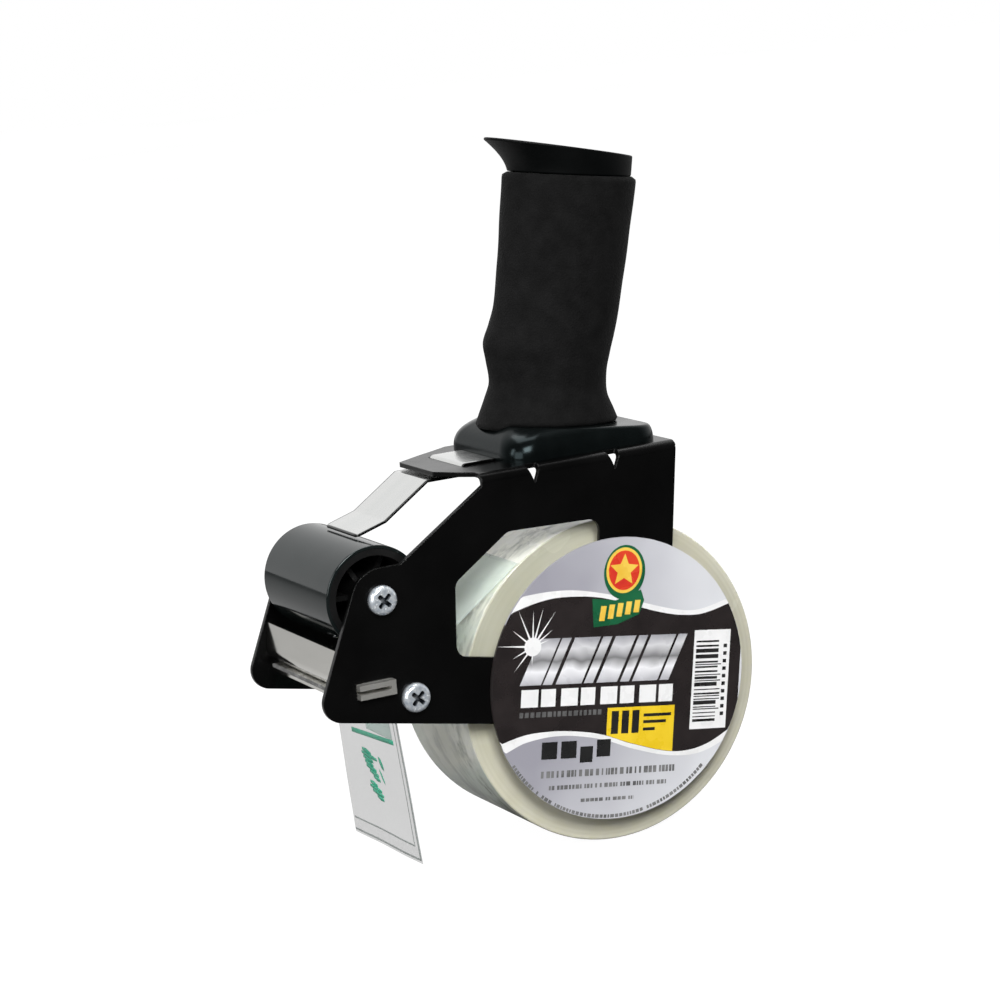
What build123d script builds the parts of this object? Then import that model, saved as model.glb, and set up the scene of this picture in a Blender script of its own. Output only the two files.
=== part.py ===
from build123d import *

import os
from math import acos, atan2, cos, pi, radians, sin, tan

# Hand-held packing-tape dispenser with a roll of tape. Millimetres.
# X runs from the guide roller (-X, front) to the back (+X), Y across the width from the hub side
# plate (-Y) to the open side (+Y), Z up, square to the frame's top plate. The origin is on the hub
# axis, midway between the side plates.

os.makedirs("parts", exist_ok=True)

# ---- driving dimensions -------------------------------------------------------------------------
FIT = 0.05  # radial running clearance
GAP = 0.3  # clearance between bodies that pass each other

# folded sheet frame
SHEET = 1.5
OUTER_HALF = 29.5  # mid-plane to the outside of a side plate
INNER_HALF = OUTER_HALF - SHEET
TOP_Z = 75.2  # outer face of the top plate
TOP_FRONT_X = -43.2
TOP_REAR_X = 26.8
TOP_CHAMFER = 3.6  # where the diagonal front edge meets the top
LEG_SLOPE = 0.1226  # the rear leg leans back, dx/dz
ARM_AT_ZERO = -13.9  # lower edge of the side plates: height where x is 0
ARM_SLOPE = -0.2016  # and dz/dx
FRONT_LEAN = 157.5  # direction of the sloping front edge's outward normal, degrees
DIAGONAL_FOOT_X = -73.4
LOBE_R = 10.0
CORNER_R = 6.5
HEEL_R = 14.0
BEND_OUT = 3.0
BEND_IN = 1.5
WINDOW_BOTTOM = 7.8  # as ARM_AT_ZERO, for the window's lower edge
WINDOW_FRONT_X, WINDOW_REAR_X = -57.1, -8.9
WINDOW_UPPER = [(-55.4, 42.6), (-35.8, 55.8), (-2.8, 54.7)]  # upper corners in X and Z
WINDOW_R = 4.0
OPEN_EDGE_Y = 26.0  # free edge of the top plate over the open side
# the top plate's corners between that edge or the fold and the tongue, in X and Y
OPEN_SHOULDER = [(-29.0, OPEN_EDGE_Y), (-35.2, 22.3), (-42.2, 18.5)]
HUB_SHOULDER = [(-47.0, -20.0), (TOP_FRONT_X, -24.5)]
TONGUE_HALF = 12.5
TONGUE_FRONT_X = -51.9
TONGUE_CORNER_R = 1.2
SLOT_X = -40.5  # front face of the slot that the spring finger passes through
NOTCH_XS = (-24.7, 4.1)  # V-shaped relief notches in the fold
NOTCH_WIDTH, NOTCH_DEPTH, NOTCH_REACH = 4.6, 5.6, 3.6
FRONT_PLATE_FOOT_X = -64.5  # rear end of the small plate on the open side
FRONT_PLATE_FOOT_R = 5.0

# fasteners
SCREW_HEAD_R, SCREW_HEAD_H = 4.7, 2.6
SCREW_R = 2.45
SCREW_BORE_R = 2.5
SCREW_LENGTH = 10.5
BASE_SCREW_XY = [(-17.9, -11.0), (-17.9, 11.0), (13.1, -11.0), (13.1, 11.0)]
BASE_SCREW_R, BASE_PILOT_R = 1.7, 1.75
BASE_PILOT_DEPTH = 4.9
BASE_HEAD_R, BASE_HEAD_H = 3.6, 2.2
RIVET_HOLE_R, RIVET_SHANK_R = 1.5, 1.45
RIVET_HEAD_H, RIVET_SET_H = 1.2, 0.8
FINGER_RIVET_R, BLADE_RIVET_R = 2.4, 2.6
RIVET_X, RIVET_Y = -25.1, 7.0

# handle
LEAN = 11.2  # it leans back, degrees
HANDLE_X = -5.6  # where its axis meets the top plate
STEM_A, STEM_B = 16.0, 11.5  # half axes of the stem
STEM_WALL = 3.0
STEM_SHORT = 3.0  # the stem ends this far below the foam's top
SOCKET_DEPTH, PLUG_LENGTH, PLUG_WALL = 16.0, 12.0, 2.5  # the cap's plug in the stem
FOAM_TOP, FOAM_TOP_SLOPE = 87.8, 0.048  # along the handle's axis, and how it rises to the rear
FOAM_TUCK = 1.8  # the foam reaches this far down over the pad's rounded shoulder
CAP_TOP, CAP_TOP_SLOPE = 96.0, -0.032
PAD_FRONT, PAD_REAR, PAD_HALF = -29.7, 25.1, 24.5
PAD_CORNER_R, PAD_EDGE_R = 9.0, 1.6
RIVET_POCKET_R, RIVET_POCKET_DEPTH = 2.9, 2.4
PAD_TOP_AT_ZERO, PAD_TOP_SLOPE = 82.62, -0.1093
# height above the frame and inset of the pad's rounded wall
PAD_SECTIONS = [(0.0, 0.0), (3.0, 0.25), (5.5, 1.2), (7.6, 3.0), (9.4, 5.6), (11.2, 9.4)]
# height along the handle, front reach, rear reach, half width
FOAM_SECTIONS = [
    (2.0, 24.4, 28.0, 20.0),
    (9.0, 22.6, 25.2, 18.8),
    (14.0, 21.3, 22.4, 17.6),
    (19.0, 20.4, 19.4, 16.7),
    (26.0, 22.6, 18.3, 16.5),
    (31.5, 24.1, 18.9, 16.7),
    (37.5, 22.6, 19.9, 16.9),
    (44.0, 21.4, 20.6, 17.0),
    (58.0, 21.3, 21.6, 17.2),
    (72.0, 21.8, 22.3, 17.5),
    (92.0, 22.6, 23.0, 18.0),
]
CAP_SECTIONS = [
    (84.0, 20.7, 20.9, 16.4),
    (88.5, 21.4, 20.9, 16.6),
    (92.0, 24.4, 20.9, 16.9),
    (95.4, 29.0, 20.9, 17.2),
    (98.0, 33.6, 20.9, 17.4),
]

# guide roller, guide rod and spring finger
ROLLER_X, ROLLER_Z = -80.9, 41.8
ROLLER_R = 16.4
ROLLER_HALF = 25.0
SLEEVE_WALL = 1.0
SLEEVE_EDGE_R = 0.5
CORE_RIM_WALL, CORE_BOSS_WALL = 2.2, 2.4
CORE_RIBS, CORE_RIB = 6, 1.6
CORE_RIB_FROM, CORE_RIB_TO = 5.45, 12.95
ROLLER_WASHER_R, ROLLER_WASHER = 7.5, 1.2
AXLE_R = 4.0
ROD_X, ROD_Z = -72.6, 9.3
ROD_R = 4.0
LEAF = 0.8
FINGER_HALF = 12.1
FINGER_DROP = 0.9  # the finger runs this far below the tongue
FINGER_KNEE = (-69.3, 62.4)
FINGER_TIP_X = -79.7
FINGER_TIP_R = 1.2

# blade and its holder
HOLDER_SHEET, HOLDER_BEND_R = 1.7, 2.2
BLADE_SHEET = 1.2
TAB_FRONT_X, TAB_REAR_X = -91.9, -79.6
TAB_MID_Z = 14.5
TAB_HEIGHT = 2 * HOLDER_SHEET + BLADE_SHEET
TAB_END = OUTER_HALF + 2.5
WALL_TOP = (-95.1, 27.8)
HOLDER_FRONT_X = -96.6
HOLDER_HALF = INNER_HALF - 0.2
BLADE_RIVET_X, BLADE_RIVET_Y = -86.4, 15.0
BLADE_FRONT_X = -97.9
TOOTH_PITCH, TOOTH_DEPTH, TEETH = 1.2, 0.9, 40

# hub and brake
STUD_R, STUD_TIP_Y = 4.0, 28.4
STUD_FLANGE_R = 13.0
BUSH_R, BUSH_FLANGE_R, BUSH_FLANGE = 7.0, 11.0, 1.2
FLANGE_Y = -INNER_HALF + 2.0
BOSS_R, BOSS_END_Y = 11.0, 5.0
DRUM_R, DRUM_WALL = 37.9, 2.6
DRUM_FLANGE_R, DRUM_FLANGE = 42.5, 1.4
DRUM_WEB_Y, DRUM_WEB = -12.0, 2.0
SPOKES, SPOKE, SPOKE_WIDTH = 6, 2.2, 25.0
SPOKE_FROM, SPOKE_TO = 10.5, 35.5
BARBS, BARB_REACH, BARB_WIDTH, BARB = 4, 1.4, 9.0, 1.7
FELT_R, FELT = 12.5, 1.5
THRUST_R, THRUST = 12.0, 1.2
SPRING_TO = 18.3
SPRING_WIRE_R, SPRING_MEAN_R, SPRING_TURNS = 0.78, 8.0, 4.0
SPRING_ROOM = 0.02  # between the spring's end coils and its seats
CUP_R, CUP, CUP_RIM, CUP_LIP = 11.5, 1.5, 1.3, 1.6
KNOB_R, KNOB_LOBES, KNOB_FLUTE_R, KNOB_FLUTE_OUT = 15.0, 8, 4.2, 2.6
KNOB_EDGE_R, KNOB_DISH_R, KNOB_DISH = 0.9, 8.0, 1.4
KNOB_TO = 28.0

# roll of tape
TAPE_HALF = 24.0  # half of the 48 mm tape width
ROLL_MID_Y = 0.3
ROLL_R = 52.9
CORE_R_IN = 38.1  # 76 mm (3 inch) core
CORE_R_OUT = 41.1
ROLL_EDGE_R = 0.6
STRIP = 0.3  # thickness of the free strip
LEAVE_ROD = 172.0  # where the strip leaves the guide rod, degrees round it
TAIL_END = (-73.6, -46.8)
CARD_R, CARD = 45.9, 0.7
CARD_X, CARD_Z = -1.1, 1.7


def save(part, name):
    part.label = name
    export_step(part, f"parts/{name}.step")


# ---- side plate outline -------------------------------------------------------------------------
def arm_z(x, at_zero=ARM_AT_ZERO):
    """Height of the side plates' lower edge, or of a line parallel to it."""
    return at_zero + ARM_SLOPE * x


front_angle = radians(FRONT_LEAN)
front_touch = (ROLLER_X + LOBE_R * cos(front_angle), ROLLER_Z + LOBE_R * sin(front_angle))
front_slope = tan(pi - front_angle)  # dx/dz along the front edge
corner_z = (arm_z(front_touch[0]) - ARM_SLOPE * front_slope * front_touch[1]) / (
    1 - ARM_SLOPE * front_slope
)
corner_x = front_touch[0] + front_slope * (corner_z - front_touch[1])
leg_rear_x = TOP_REAR_X - LEG_SLOPE * TOP_Z  # the rear edge where z is 0
leg_rear_z = arm_z(leg_rear_x) / (1 - ARM_SLOPE * LEG_SLOPE)


def side_outline():
    """Outer outline of the hub side plate, drawn in X and Z."""
    lobe_top = (ROLLER_X, ROLLER_Z + LOBE_R)
    with BuildLine() as outline:
        Polyline(
            lobe_top,
            (DIAGONAL_FOOT_X, ROLLER_Z + LOBE_R),
            (TOP_FRONT_X, TOP_Z - TOP_CHAMFER),
            (TOP_FRONT_X, TOP_Z),
            (TOP_REAR_X, TOP_Z),
            (leg_rear_x + LEG_SLOPE * leg_rear_z, leg_rear_z),
            (corner_x, corner_z),
            front_touch,
        )
        RadiusArc(front_touch, lobe_top, LOBE_R)
    return outline.line


def cut_side_holes():
    """Holes that both side plates share: roller screw, rod screw and the blade holder's slot."""
    with Locations((ROLLER_X, ROLLER_Z), (ROD_X, ROD_Z)):
        Circle(SCREW_BORE_R + 0.1, mode=Mode.SUBTRACT)
    with Locations(((TAB_FRONT_X + TAB_REAR_X) / 2, TAB_MID_Z)):
        RectangleRounded(TAB_REAR_X - TAB_FRONT_X + 0.4, TAB_HEIGHT + 0.4, 0.25, mode=Mode.SUBTRACT)


# ---- frame: hub side plate and top plate folded from one sheet -----------------------------------
def base_holes():
    """Holes through the top plate for the handle's screws and the finger's rivets."""
    with Locations(*BASE_SCREW_XY):
        Circle(BASE_SCREW_R + 0.5, mode=Mode.SUBTRACT)
    with Locations((RIVET_X, -RIVET_Y), (RIVET_X, RIVET_Y)):
        Circle(RIVET_HOLE_R, mode=Mode.SUBTRACT)


with BuildPart() as frame:
    with BuildSketch(Plane.XZ.offset(INNER_HALF)) as hub_side:
        make_face(side_outline().edges())
        fillet(hub_side.vertices().sort_by_distance((corner_x, corner_z, 0))[0], CORNER_R)
        heel = (leg_rear_x + LEG_SLOPE * leg_rear_z, leg_rear_z, 0)
        fillet(hub_side.vertices().sort_by_distance(heel)[0], HEEL_R)
        with BuildSketch(mode=Mode.SUBTRACT) as window:
            with BuildLine():
                Polyline(
                    (WINDOW_FRONT_X, arm_z(WINDOW_FRONT_X, WINDOW_BOTTOM)),
                    *WINDOW_UPPER,
                    (WINDOW_REAR_X, arm_z(WINDOW_REAR_X, WINDOW_BOTTOM)),
                    close=True,
                )
            make_face()
            fillet(window.vertices(), WINDOW_R)
        cut_side_holes()
        Circle(STUD_R, mode=Mode.SUBTRACT)
    extrude(amount=SHEET)
    # the top plate narrows to a tongue and is free along the open side
    with BuildSketch(Plane.XY.offset(TOP_Z - SHEET)):
        with BuildLine():
            Polyline(
                (TOP_REAR_X, -OUTER_HALF),
                (TOP_REAR_X, OPEN_EDGE_Y),
                *OPEN_SHOULDER,
                (TONGUE_FRONT_X, TONGUE_HALF),
                (TONGUE_FRONT_X, -TONGUE_HALF),
                *HUB_SHOULDER,
                (TOP_FRONT_X, -OUTER_HALF),
                close=True,
            )
        make_face()
        with Locations((SLOT_X - LEAF / 2, 0)):
            Rectangle(LEAF + 0.6, 2 * FINGER_HALF + 0.6, mode=Mode.SUBTRACT)
        base_holes()
    extrude(amount=SHEET)
    outer_fold = (
        frame.edges()
        .filter_by(Axis.X)
        .filter_by(lambda e: e.length > 50 and abs(e.center().Y + OUTER_HALF) < 0.01)
        .sort_by(Axis.Z)[-1]
    )
    fillet(outer_fold, BEND_OUT)
    inner_fold = (
        frame.edges()
        .filter_by(Axis.X)
        .filter_by(lambda e: e.length > 50 and abs(e.center().Z - (TOP_Z - SHEET)) < 0.01)
        .filter_by(lambda e: abs(e.center().Y + INNER_HALF) < 0.01)
    )
    fillet(inner_fold, BEND_IN)
    tongue_corners = (
        frame.edges()
        .filter_by(Axis.Z)
        .filter_by(lambda e: abs(e.center().X - TONGUE_FRONT_X) < 0.01)
    )
    fillet(tongue_corners, TONGUE_CORNER_R)
    with BuildSketch(Plane.XZ.offset(OUTER_HALF + 1)):
        for x in NOTCH_XS:
            with BuildLine():
                Polyline(
                    (x - NOTCH_WIDTH / 2, TOP_Z + 0.1),
                    (x + NOTCH_WIDTH / 2, TOP_Z + 0.1),
                    (x, TOP_Z - NOTCH_DEPTH),
                    close=True,
                )
            make_face()
    extrude(amount=-1 - NOTCH_REACH, mode=Mode.SUBTRACT)
save(frame.part, "frame")

# ---- small plate that carries the roller, rod and blade holder on the open side ------------------
with BuildPart() as front_plate:
    with BuildSketch(Plane.XZ.offset(-OUTER_HALF)) as lobe_and_foot:
        with BuildLine():
            CenterArc((ROLLER_X, ROLLER_Z), LOBE_R, 0, 360)
            Line((corner_x, corner_z), (FRONT_PLATE_FOOT_X, arm_z(FRONT_PLATE_FOOT_X)))
        make_hull()
        front_foot = lobe_and_foot.vertices().sort_by_distance((corner_x, corner_z, 0))[0]
        fillet(front_foot, CORNER_R)
        rear_foot = lobe_and_foot.vertices().sort_by_distance(
            (FRONT_PLATE_FOOT_X, arm_z(FRONT_PLATE_FOOT_X), 0)
        )[0]
        fillet(rear_foot, FRONT_PLATE_FOOT_R)
        cut_side_holes()
    extrude(amount=SHEET)
save(front_plate.part, "front_plate")

# ---- handle -------------------------------------------------------------------------------------
handle_axis = Plane(
    origin=(HANDLE_X, 0, TOP_Z),
    x_dir=(cos(radians(LEAN)), 0, -sin(radians(LEAN))),
    z_dir=(sin(radians(LEAN)), 0, cos(radians(LEAN))),
)


def pad_top_z(x, lift=0.0):
    """Height of the pad's sloping top, or of a line parallel to it."""
    return PAD_TOP_AT_ZERO + PAD_TOP_SLOPE * x + lift


def side_block(points):
    """Block over the whole width, from an outline in X and Z."""
    with BuildPart() as block:
        with BuildSketch(Plane.XZ):
            with BuildLine():
                Polyline(*points, close=True)
            make_face()
        extrude(amount=40, both=True)
    return block.part


def along_handle(reach, height):
    """Point in X and Z from its reach behind the handle's axis and its height along it."""
    spot = handle_axis.from_local_coords(Vector(reach, 0, height))
    return (spot.X, spot.Z)


def handle_slab(low, low_slope, high, high_slope):
    """Block between two planes across the handle, each given by its height and its rise to the rear."""
    return side_block(
        [
            along_handle(-60, low - 60 * low_slope),
            along_handle(60, low + 60 * low_slope),
            along_handle(60, high + 60 * high_slope),
            along_handle(-60, high - 60 * high_slope),
        ]
    )


def lofted_handle(sections, ruled):
    """Part of the handle through oval sections; front and rear halves reach differently."""
    with BuildPart() as body:
        for height, front, rear, half in sections:
            with BuildSketch(handle_axis.offset(height)):
                with Locations(((rear - front) / 2, 0)):
                    Ellipse((rear + front) / 2, half)
        loft(ruled=ruled)
    return body.part


def pad_body(grow=0.0):
    """Pillow-shaped pad under a sloping plane, grown by a clearance."""
    with BuildPart() as pillow:
        for height, inset in PAD_SECTIONS:
            length = PAD_REAR - PAD_FRONT - 2 * (inset - grow)
            with BuildSketch(Plane.XY.offset(TOP_Z + height)):
                with Locations(((PAD_FRONT + PAD_REAR) / 2, 0)):
                    RectangleRounded(length, 2 * (PAD_HALF - inset + grow), PAD_CORNER_R)
        loft()
        add(
            side_block(
                [(-60, pad_top_z(-60, grow)), (60, pad_top_z(60, grow)), (60, 120), (-60, 120)]
            ),
            mode=Mode.SUBTRACT,
        )
    return pillow.part


STEM_TOP = FOAM_TOP - STEM_SHORT
with BuildPart() as handle_base:
    add(pad_body())
    pad_top = handle_base.faces().sort_by(Axis.Z)[-1]
    fillet(pad_top.edges(), PAD_EDGE_R)
    with BuildSketch(handle_axis.offset(5)):
        Ellipse(STEM_A, STEM_B)
    extrude(amount=STEM_TOP - 5)
    # socket for the cap
    with BuildSketch(handle_axis.offset(STEM_TOP - SOCKET_DEPTH)):
        Ellipse(STEM_A - STEM_WALL, STEM_B - STEM_WALL)
    extrude(amount=SOCKET_DEPTH + 1, mode=Mode.SUBTRACT)
    # recess over the spring finger's root and its rivets
    with BuildSketch(Plane.XY.offset(TOP_Z)):
        with Locations((PAD_FRONT + 4, 0)):
            Rectangle(12, 2 * FINGER_HALF + 1.2)
    extrude(amount=LEAF + 0.1, mode=Mode.SUBTRACT)
    with BuildSketch(Plane.XY.offset(TOP_Z)):
        with Locations((RIVET_X, -RIVET_Y), (RIVET_X, RIVET_Y)):
            Circle(RIVET_POCKET_R)
    extrude(amount=RIVET_POCKET_DEPTH, mode=Mode.SUBTRACT)
    # pilot holes for the four screws
    with BuildSketch(Plane.XY.offset(TOP_Z)):
        with Locations(*BASE_SCREW_XY):
            Circle(BASE_PILOT_R)
    extrude(amount=BASE_PILOT_DEPTH, mode=Mode.SUBTRACT)
save(handle_base.part, "handle_base")

with BuildPart() as foam_grip:
    add(lofted_handle(FOAM_SECTIONS, True))
    add(handle_slab(-20, 0, FOAM_TOP, FOAM_TOP_SLOPE), mode=Mode.INTERSECT)
    with BuildSketch(handle_axis):
        Ellipse(STEM_A + FIT, STEM_B + FIT)
    extrude(amount=120, mode=Mode.SUBTRACT)
    add(pad_body(0.1), mode=Mode.SUBTRACT)
    add(
        side_block(
            [
                (-60, pad_top_z(-60, -FOAM_TUCK)),
                (60, pad_top_z(60, -FOAM_TUCK)),
                (60, 40),
                (-60, 40),
            ]
        ),
        mode=Mode.SUBTRACT,
    )
save(foam_grip.part, "foam_grip")

with BuildPart() as handle_cap:
    add(lofted_handle(CAP_SECTIONS, False))
    add(handle_slab(FOAM_TOP + 0.1, FOAM_TOP_SLOPE, CAP_TOP, CAP_TOP_SLOPE), mode=Mode.INTERSECT)
    fillet(handle_cap.faces().sort_by(Axis.Z)[-1].edges(), 0.5)
    # plug into the stem's socket
    plug_a, plug_b = STEM_A - STEM_WALL - FIT, STEM_B - STEM_WALL - FIT
    with BuildSketch(handle_axis.offset(FOAM_TOP + 2)):
        Ellipse(plug_a, plug_b)
        Ellipse(plug_a - PLUG_WALL, plug_b - PLUG_WALL, mode=Mode.SUBTRACT)
    extrude(amount=-2 - STEM_SHORT - PLUG_LENGTH)
save(handle_cap.part, "handle_cap")


# ---- fasteners ----------------------------------------------------------------------------------
def pan_head_screw(plane, head_r, head_h, shank_r, shank_length):
    """Cross-recess pan-head screw; plane is the seat, and its normal points out of the head."""
    with BuildPart() as screw:
        with BuildSketch(plane):
            Circle(head_r)
        extrude(amount=head_h)
        rim = screw.edges().filter_by(GeomType.CIRCLE).filter_by(
            lambda e: (e.center() - plane.origin).dot(plane.z_dir) > head_h / 2
        )
        fillet(rim, head_h * 0.62)
        with BuildSketch(plane):
            Circle(shank_r)
        extrude(amount=-shank_length)
        tip = screw.edges().filter_by(GeomType.CIRCLE).sort_by(
            lambda e: (e.center() - plane.origin).dot(plane.z_dir)
        )[0]
        chamfer(tip, shank_r * 0.3)
        with BuildSketch(plane.offset(head_h)):
            for turn in (45, 135):
                with Locations(Location((0, 0, 0), (0, 0, turn))):
                    RectangleRounded(head_r * 1.15, head_r * 0.3, head_r * 0.1)
            Circle(head_r * 0.24)
        extrude(amount=-head_h * 0.68, taper=12, mode=Mode.SUBTRACT)
    return screw.part


def side_screws(x, z):
    """One screw in each side plate, on the axis through (x, z)."""
    planes = [
        Plane(origin=(x, side * OUTER_HALF, z), x_dir=(1, 0, 0), z_dir=(0, side, 0))
        for side in (-1, 1)
    ]
    return Compound(
        children=[
            pan_head_screw(p, SCREW_HEAD_R, SCREW_HEAD_H, SCREW_R, SCREW_LENGTH) for p in planes
        ]
    )


save(side_screws(ROLLER_X, ROLLER_Z), "roller_screws")
save(side_screws(ROD_X, ROD_Z), "rod_screws")

base_screws = Compound(
    children=[
        pan_head_screw(
            Plane(origin=(x, y, TOP_Z - SHEET), x_dir=(1, 0, 0), z_dir=(0, 0, -1)),
            BASE_HEAD_R,
            BASE_HEAD_H,
            BASE_SCREW_R,
            SHEET + BASE_PILOT_DEPTH - 0.1,
        )
        for x, y in BASE_SCREW_XY
    ]
)
save(base_screws, "handle_screws")


def rivet(plane, head_r, shank_r, grip):
    """Domed head at the plane, a flat set head at the far end of the grip."""
    with BuildPart() as pin:
        with BuildSketch(plane):
            Circle(head_r)
        extrude(amount=RIVET_HEAD_H)
        rim = pin.edges().filter_by(GeomType.CIRCLE).filter_by(
            lambda e: (e.center() - plane.origin).dot(plane.z_dir) > RIVET_HEAD_H / 2
        )
        fillet(rim, RIVET_HEAD_H * 0.66)
        with BuildSketch(plane):
            Circle(shank_r)
        extrude(amount=-grip)
        with BuildSketch(plane.offset(-grip)):
            Circle(head_r * 0.85)
        extrude(amount=-RIVET_SET_H)
    return pin.part


# ---- spring finger over the roller --------------------------------------------------------------
FINGER_TOP_Z = TOP_Z - SHEET - FINGER_DROP
FLEX_X = TONGUE_FRONT_X - 0.6
TIP_Z = ROLLER_Z + ROLLER_R + GAP + LEAF  # upper face at the tip

with BuildPart() as finger_root:
    with BuildSketch(Plane.XZ):
        with BuildLine() as jog:
            FilletPolyline(
                (RIVET_X + 3.2, TOP_Z),
                (SLOT_X, TOP_Z),
                (SLOT_X, FINGER_TOP_Z - LEAF),
                (FLEX_X, FINGER_TOP_Z - LEAF),
                radius=0.25,
            )
            offset(jog.line, amount=LEAF, side=Side.RIGHT)
        make_face()
    extrude(amount=FINGER_HALF, both=True)
    with BuildSketch(Plane.XY.offset(TOP_Z - 1)):
        with Locations((RIVET_X, -RIVET_Y), (RIVET_X, RIVET_Y)):
            Circle(RIVET_HOLE_R)
    extrude(amount=4, mode=Mode.SUBTRACT)

with BuildPart() as finger_leaf:
    with BuildSketch(Plane.XZ):
        with BuildLine() as bent:
            FilletPolyline(
                (FLEX_X - 0.1, FINGER_TOP_Z),
                (FLEX_X - 1.2, FINGER_TOP_Z),
                FINGER_KNEE,
                (FINGER_TIP_X, TIP_Z),
                radius=1.0,
            )
            offset(bent.line, amount=LEAF, side=Side.LEFT)
        make_face()
    extrude(amount=FINGER_HALF, both=True)
    tip_corners = (
        finger_leaf.edges()
        .filter_by(lambda e: e.length < LEAF * 1.2 and e.center().X < FINGER_TIP_X + 0.8)
        .filter_by(lambda e: abs(e.center().Y) > FINGER_HALF - 0.6)
    )
    fillet(tip_corners, FINGER_TIP_R)

save(finger_root.part, "finger_root")
save(finger_leaf.part, "finger_leaf")
save(
    Compound(
        children=[
            rivet(Plane(origin=(RIVET_X, y, TOP_Z + LEAF)), FINGER_RIVET_R, RIVET_SHANK_R, LEAF + SHEET)
            for y in (-RIVET_Y, RIVET_Y)
        ]
    ),
    "finger_rivets",
)

# ---- roller -------------------------------------------------------------------------------------
across = Plane(origin=(0, 0, 0), x_dir=(1, 0, 0), z_dir=(0, 1, 0))  # local z is +Y, local y is -Z
at_roller = Plane(origin=(ROLLER_X, 0, ROLLER_Z), x_dir=(1, 0, 0), z_dir=(0, 1, 0))
at_rod = Plane(origin=(ROD_X, 0, ROD_Z), x_dir=(1, 0, 0), z_dir=(0, 1, 0))
CORE_RIM_R = ROLLER_R - SLEEVE_WALL

with BuildPart() as roller_sleeve:
    with BuildSketch(at_roller):
        Circle(ROLLER_R)
        Circle(CORE_RIM_R, mode=Mode.SUBTRACT)
    extrude(amount=ROLLER_HALF, both=True)
    ends = roller_sleeve.edges().filter_by(GeomType.CIRCLE).filter_by(
        lambda e: e.radius > ROLLER_R - 0.1
    )
    fillet(ends, SLEEVE_EDGE_R)
save(roller_sleeve.part, "roller_sleeve")

with BuildPart() as roller_core:
    with BuildSketch(at_roller):
        Circle(CORE_RIM_R)
        Circle(CORE_RIM_R - CORE_RIM_WALL, mode=Mode.SUBTRACT)
    extrude(amount=ROLLER_HALF - 0.2, both=True)
    with BuildSketch(at_roller):
        Circle(AXLE_R + CORE_BOSS_WALL)
    extrude(amount=ROLLER_HALF + 0.6, both=True)
    with BuildSketch(at_roller):
        Circle(CORE_RIM_R - 1)
    extrude(amount=1.2, both=True)
    with BuildSketch(at_roller):
        with PolarLocations((CORE_RIB_FROM + CORE_RIB_TO) / 2, CORE_RIBS):
            Rectangle(CORE_RIB_TO - CORE_RIB_FROM, CORE_RIB)
    extrude(amount=ROLLER_HALF - 7, both=True)
    with BuildSketch(at_roller):
        Circle(AXLE_R + FIT)
    extrude(amount=ROLLER_HALF + 1, both=True, mode=Mode.SUBTRACT)
save(roller_core.part, "roller_core")


def threaded_tube(plane, radius):
    """Spacer tube clamped between the side plates, tapped for a screw at each end."""
    with BuildPart() as tube:
        with BuildSketch(plane):
            Circle(radius)
            Circle(SCREW_BORE_R, mode=Mode.SUBTRACT)
        extrude(amount=INNER_HALF, both=True)
    return tube.part


save(threaded_tube(at_roller, AXLE_R), "roller_axle")
save(threaded_tube(at_rod, ROD_R), "guide_rod")

with BuildPart() as roller_washers:
    for side in (-1, 1):
        plane = Plane(
            origin=(ROLLER_X, side * (INNER_HALF - 0.1), ROLLER_Z), x_dir=(1, 0, 0), z_dir=(0, -side, 0)
        )
        with BuildSketch(plane):
            Circle(ROLLER_WASHER_R)
            Circle(AXLE_R + FIT, mode=Mode.SUBTRACT)
        extrude(amount=ROLLER_WASHER)
save(roller_washers.part, "roller_washers")

# ---- blade and its holder -----------------------------------------------------------------------
LEDGE_TOP = TAB_MID_Z + TAB_HEIGHT / 2
LEDGE_BOTTOM = TAB_MID_Z - TAB_HEIGHT / 2
blade_z = LEDGE_BOTTOM + HOLDER_SHEET

with BuildPart() as blade_holder:
    # front wall, top ledge, fold and bottom ledge as one bent strip
    with BuildSketch(Plane.XZ):
        with BuildLine() as wall:
            FilletPolyline(
                WALL_TOP,
                (HOLDER_FRONT_X + 0.4, LEDGE_TOP),
                (TAB_REAR_X, LEDGE_TOP),
                radius=HOLDER_BEND_R,
            )
            offset(wall.line, amount=HOLDER_SHEET, side=Side.RIGHT)
        make_face()
        with BuildLine():
            Polyline(
                (TAB_REAR_X, LEDGE_TOP),
                (TAB_REAR_X - HOLDER_SHEET, LEDGE_TOP),
                (TAB_REAR_X - HOLDER_SHEET, LEDGE_BOTTOM + HOLDER_SHEET),
                (HOLDER_FRONT_X, LEDGE_BOTTOM + HOLDER_SHEET),
                (HOLDER_FRONT_X, LEDGE_BOTTOM),
                (TAB_REAR_X, LEDGE_BOTTOM),
                close=True,
            )
        make_face()
    extrude(amount=HOLDER_HALF, both=True)
    # tabs through the slots in the side plates
    with BuildSketch(Plane.XZ):
        with Locations(((TAB_FRONT_X + TAB_REAR_X) / 2, TAB_MID_Z)):
            Rectangle(TAB_REAR_X - TAB_FRONT_X, TAB_HEIGHT)
        with Locations(((TAB_FRONT_X + TAB_REAR_X - HOLDER_SHEET) / 2, TAB_MID_Z)):
            Rectangle(TAB_REAR_X - TAB_FRONT_X - HOLDER_SHEET, BLADE_SHEET, mode=Mode.SUBTRACT)
    extrude(amount=TAB_END, both=True)
    with BuildSketch(Plane.XY.offset(LEDGE_BOTTOM - 1)):
        with Locations((BLADE_RIVET_X, -BLADE_RIVET_Y), (BLADE_RIVET_X, BLADE_RIVET_Y)):
            Circle(RIVET_HOLE_R)
    extrude(amount=TAB_HEIGHT + 2, mode=Mode.SUBTRACT)
save(blade_holder.part, "blade_holder")

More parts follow.
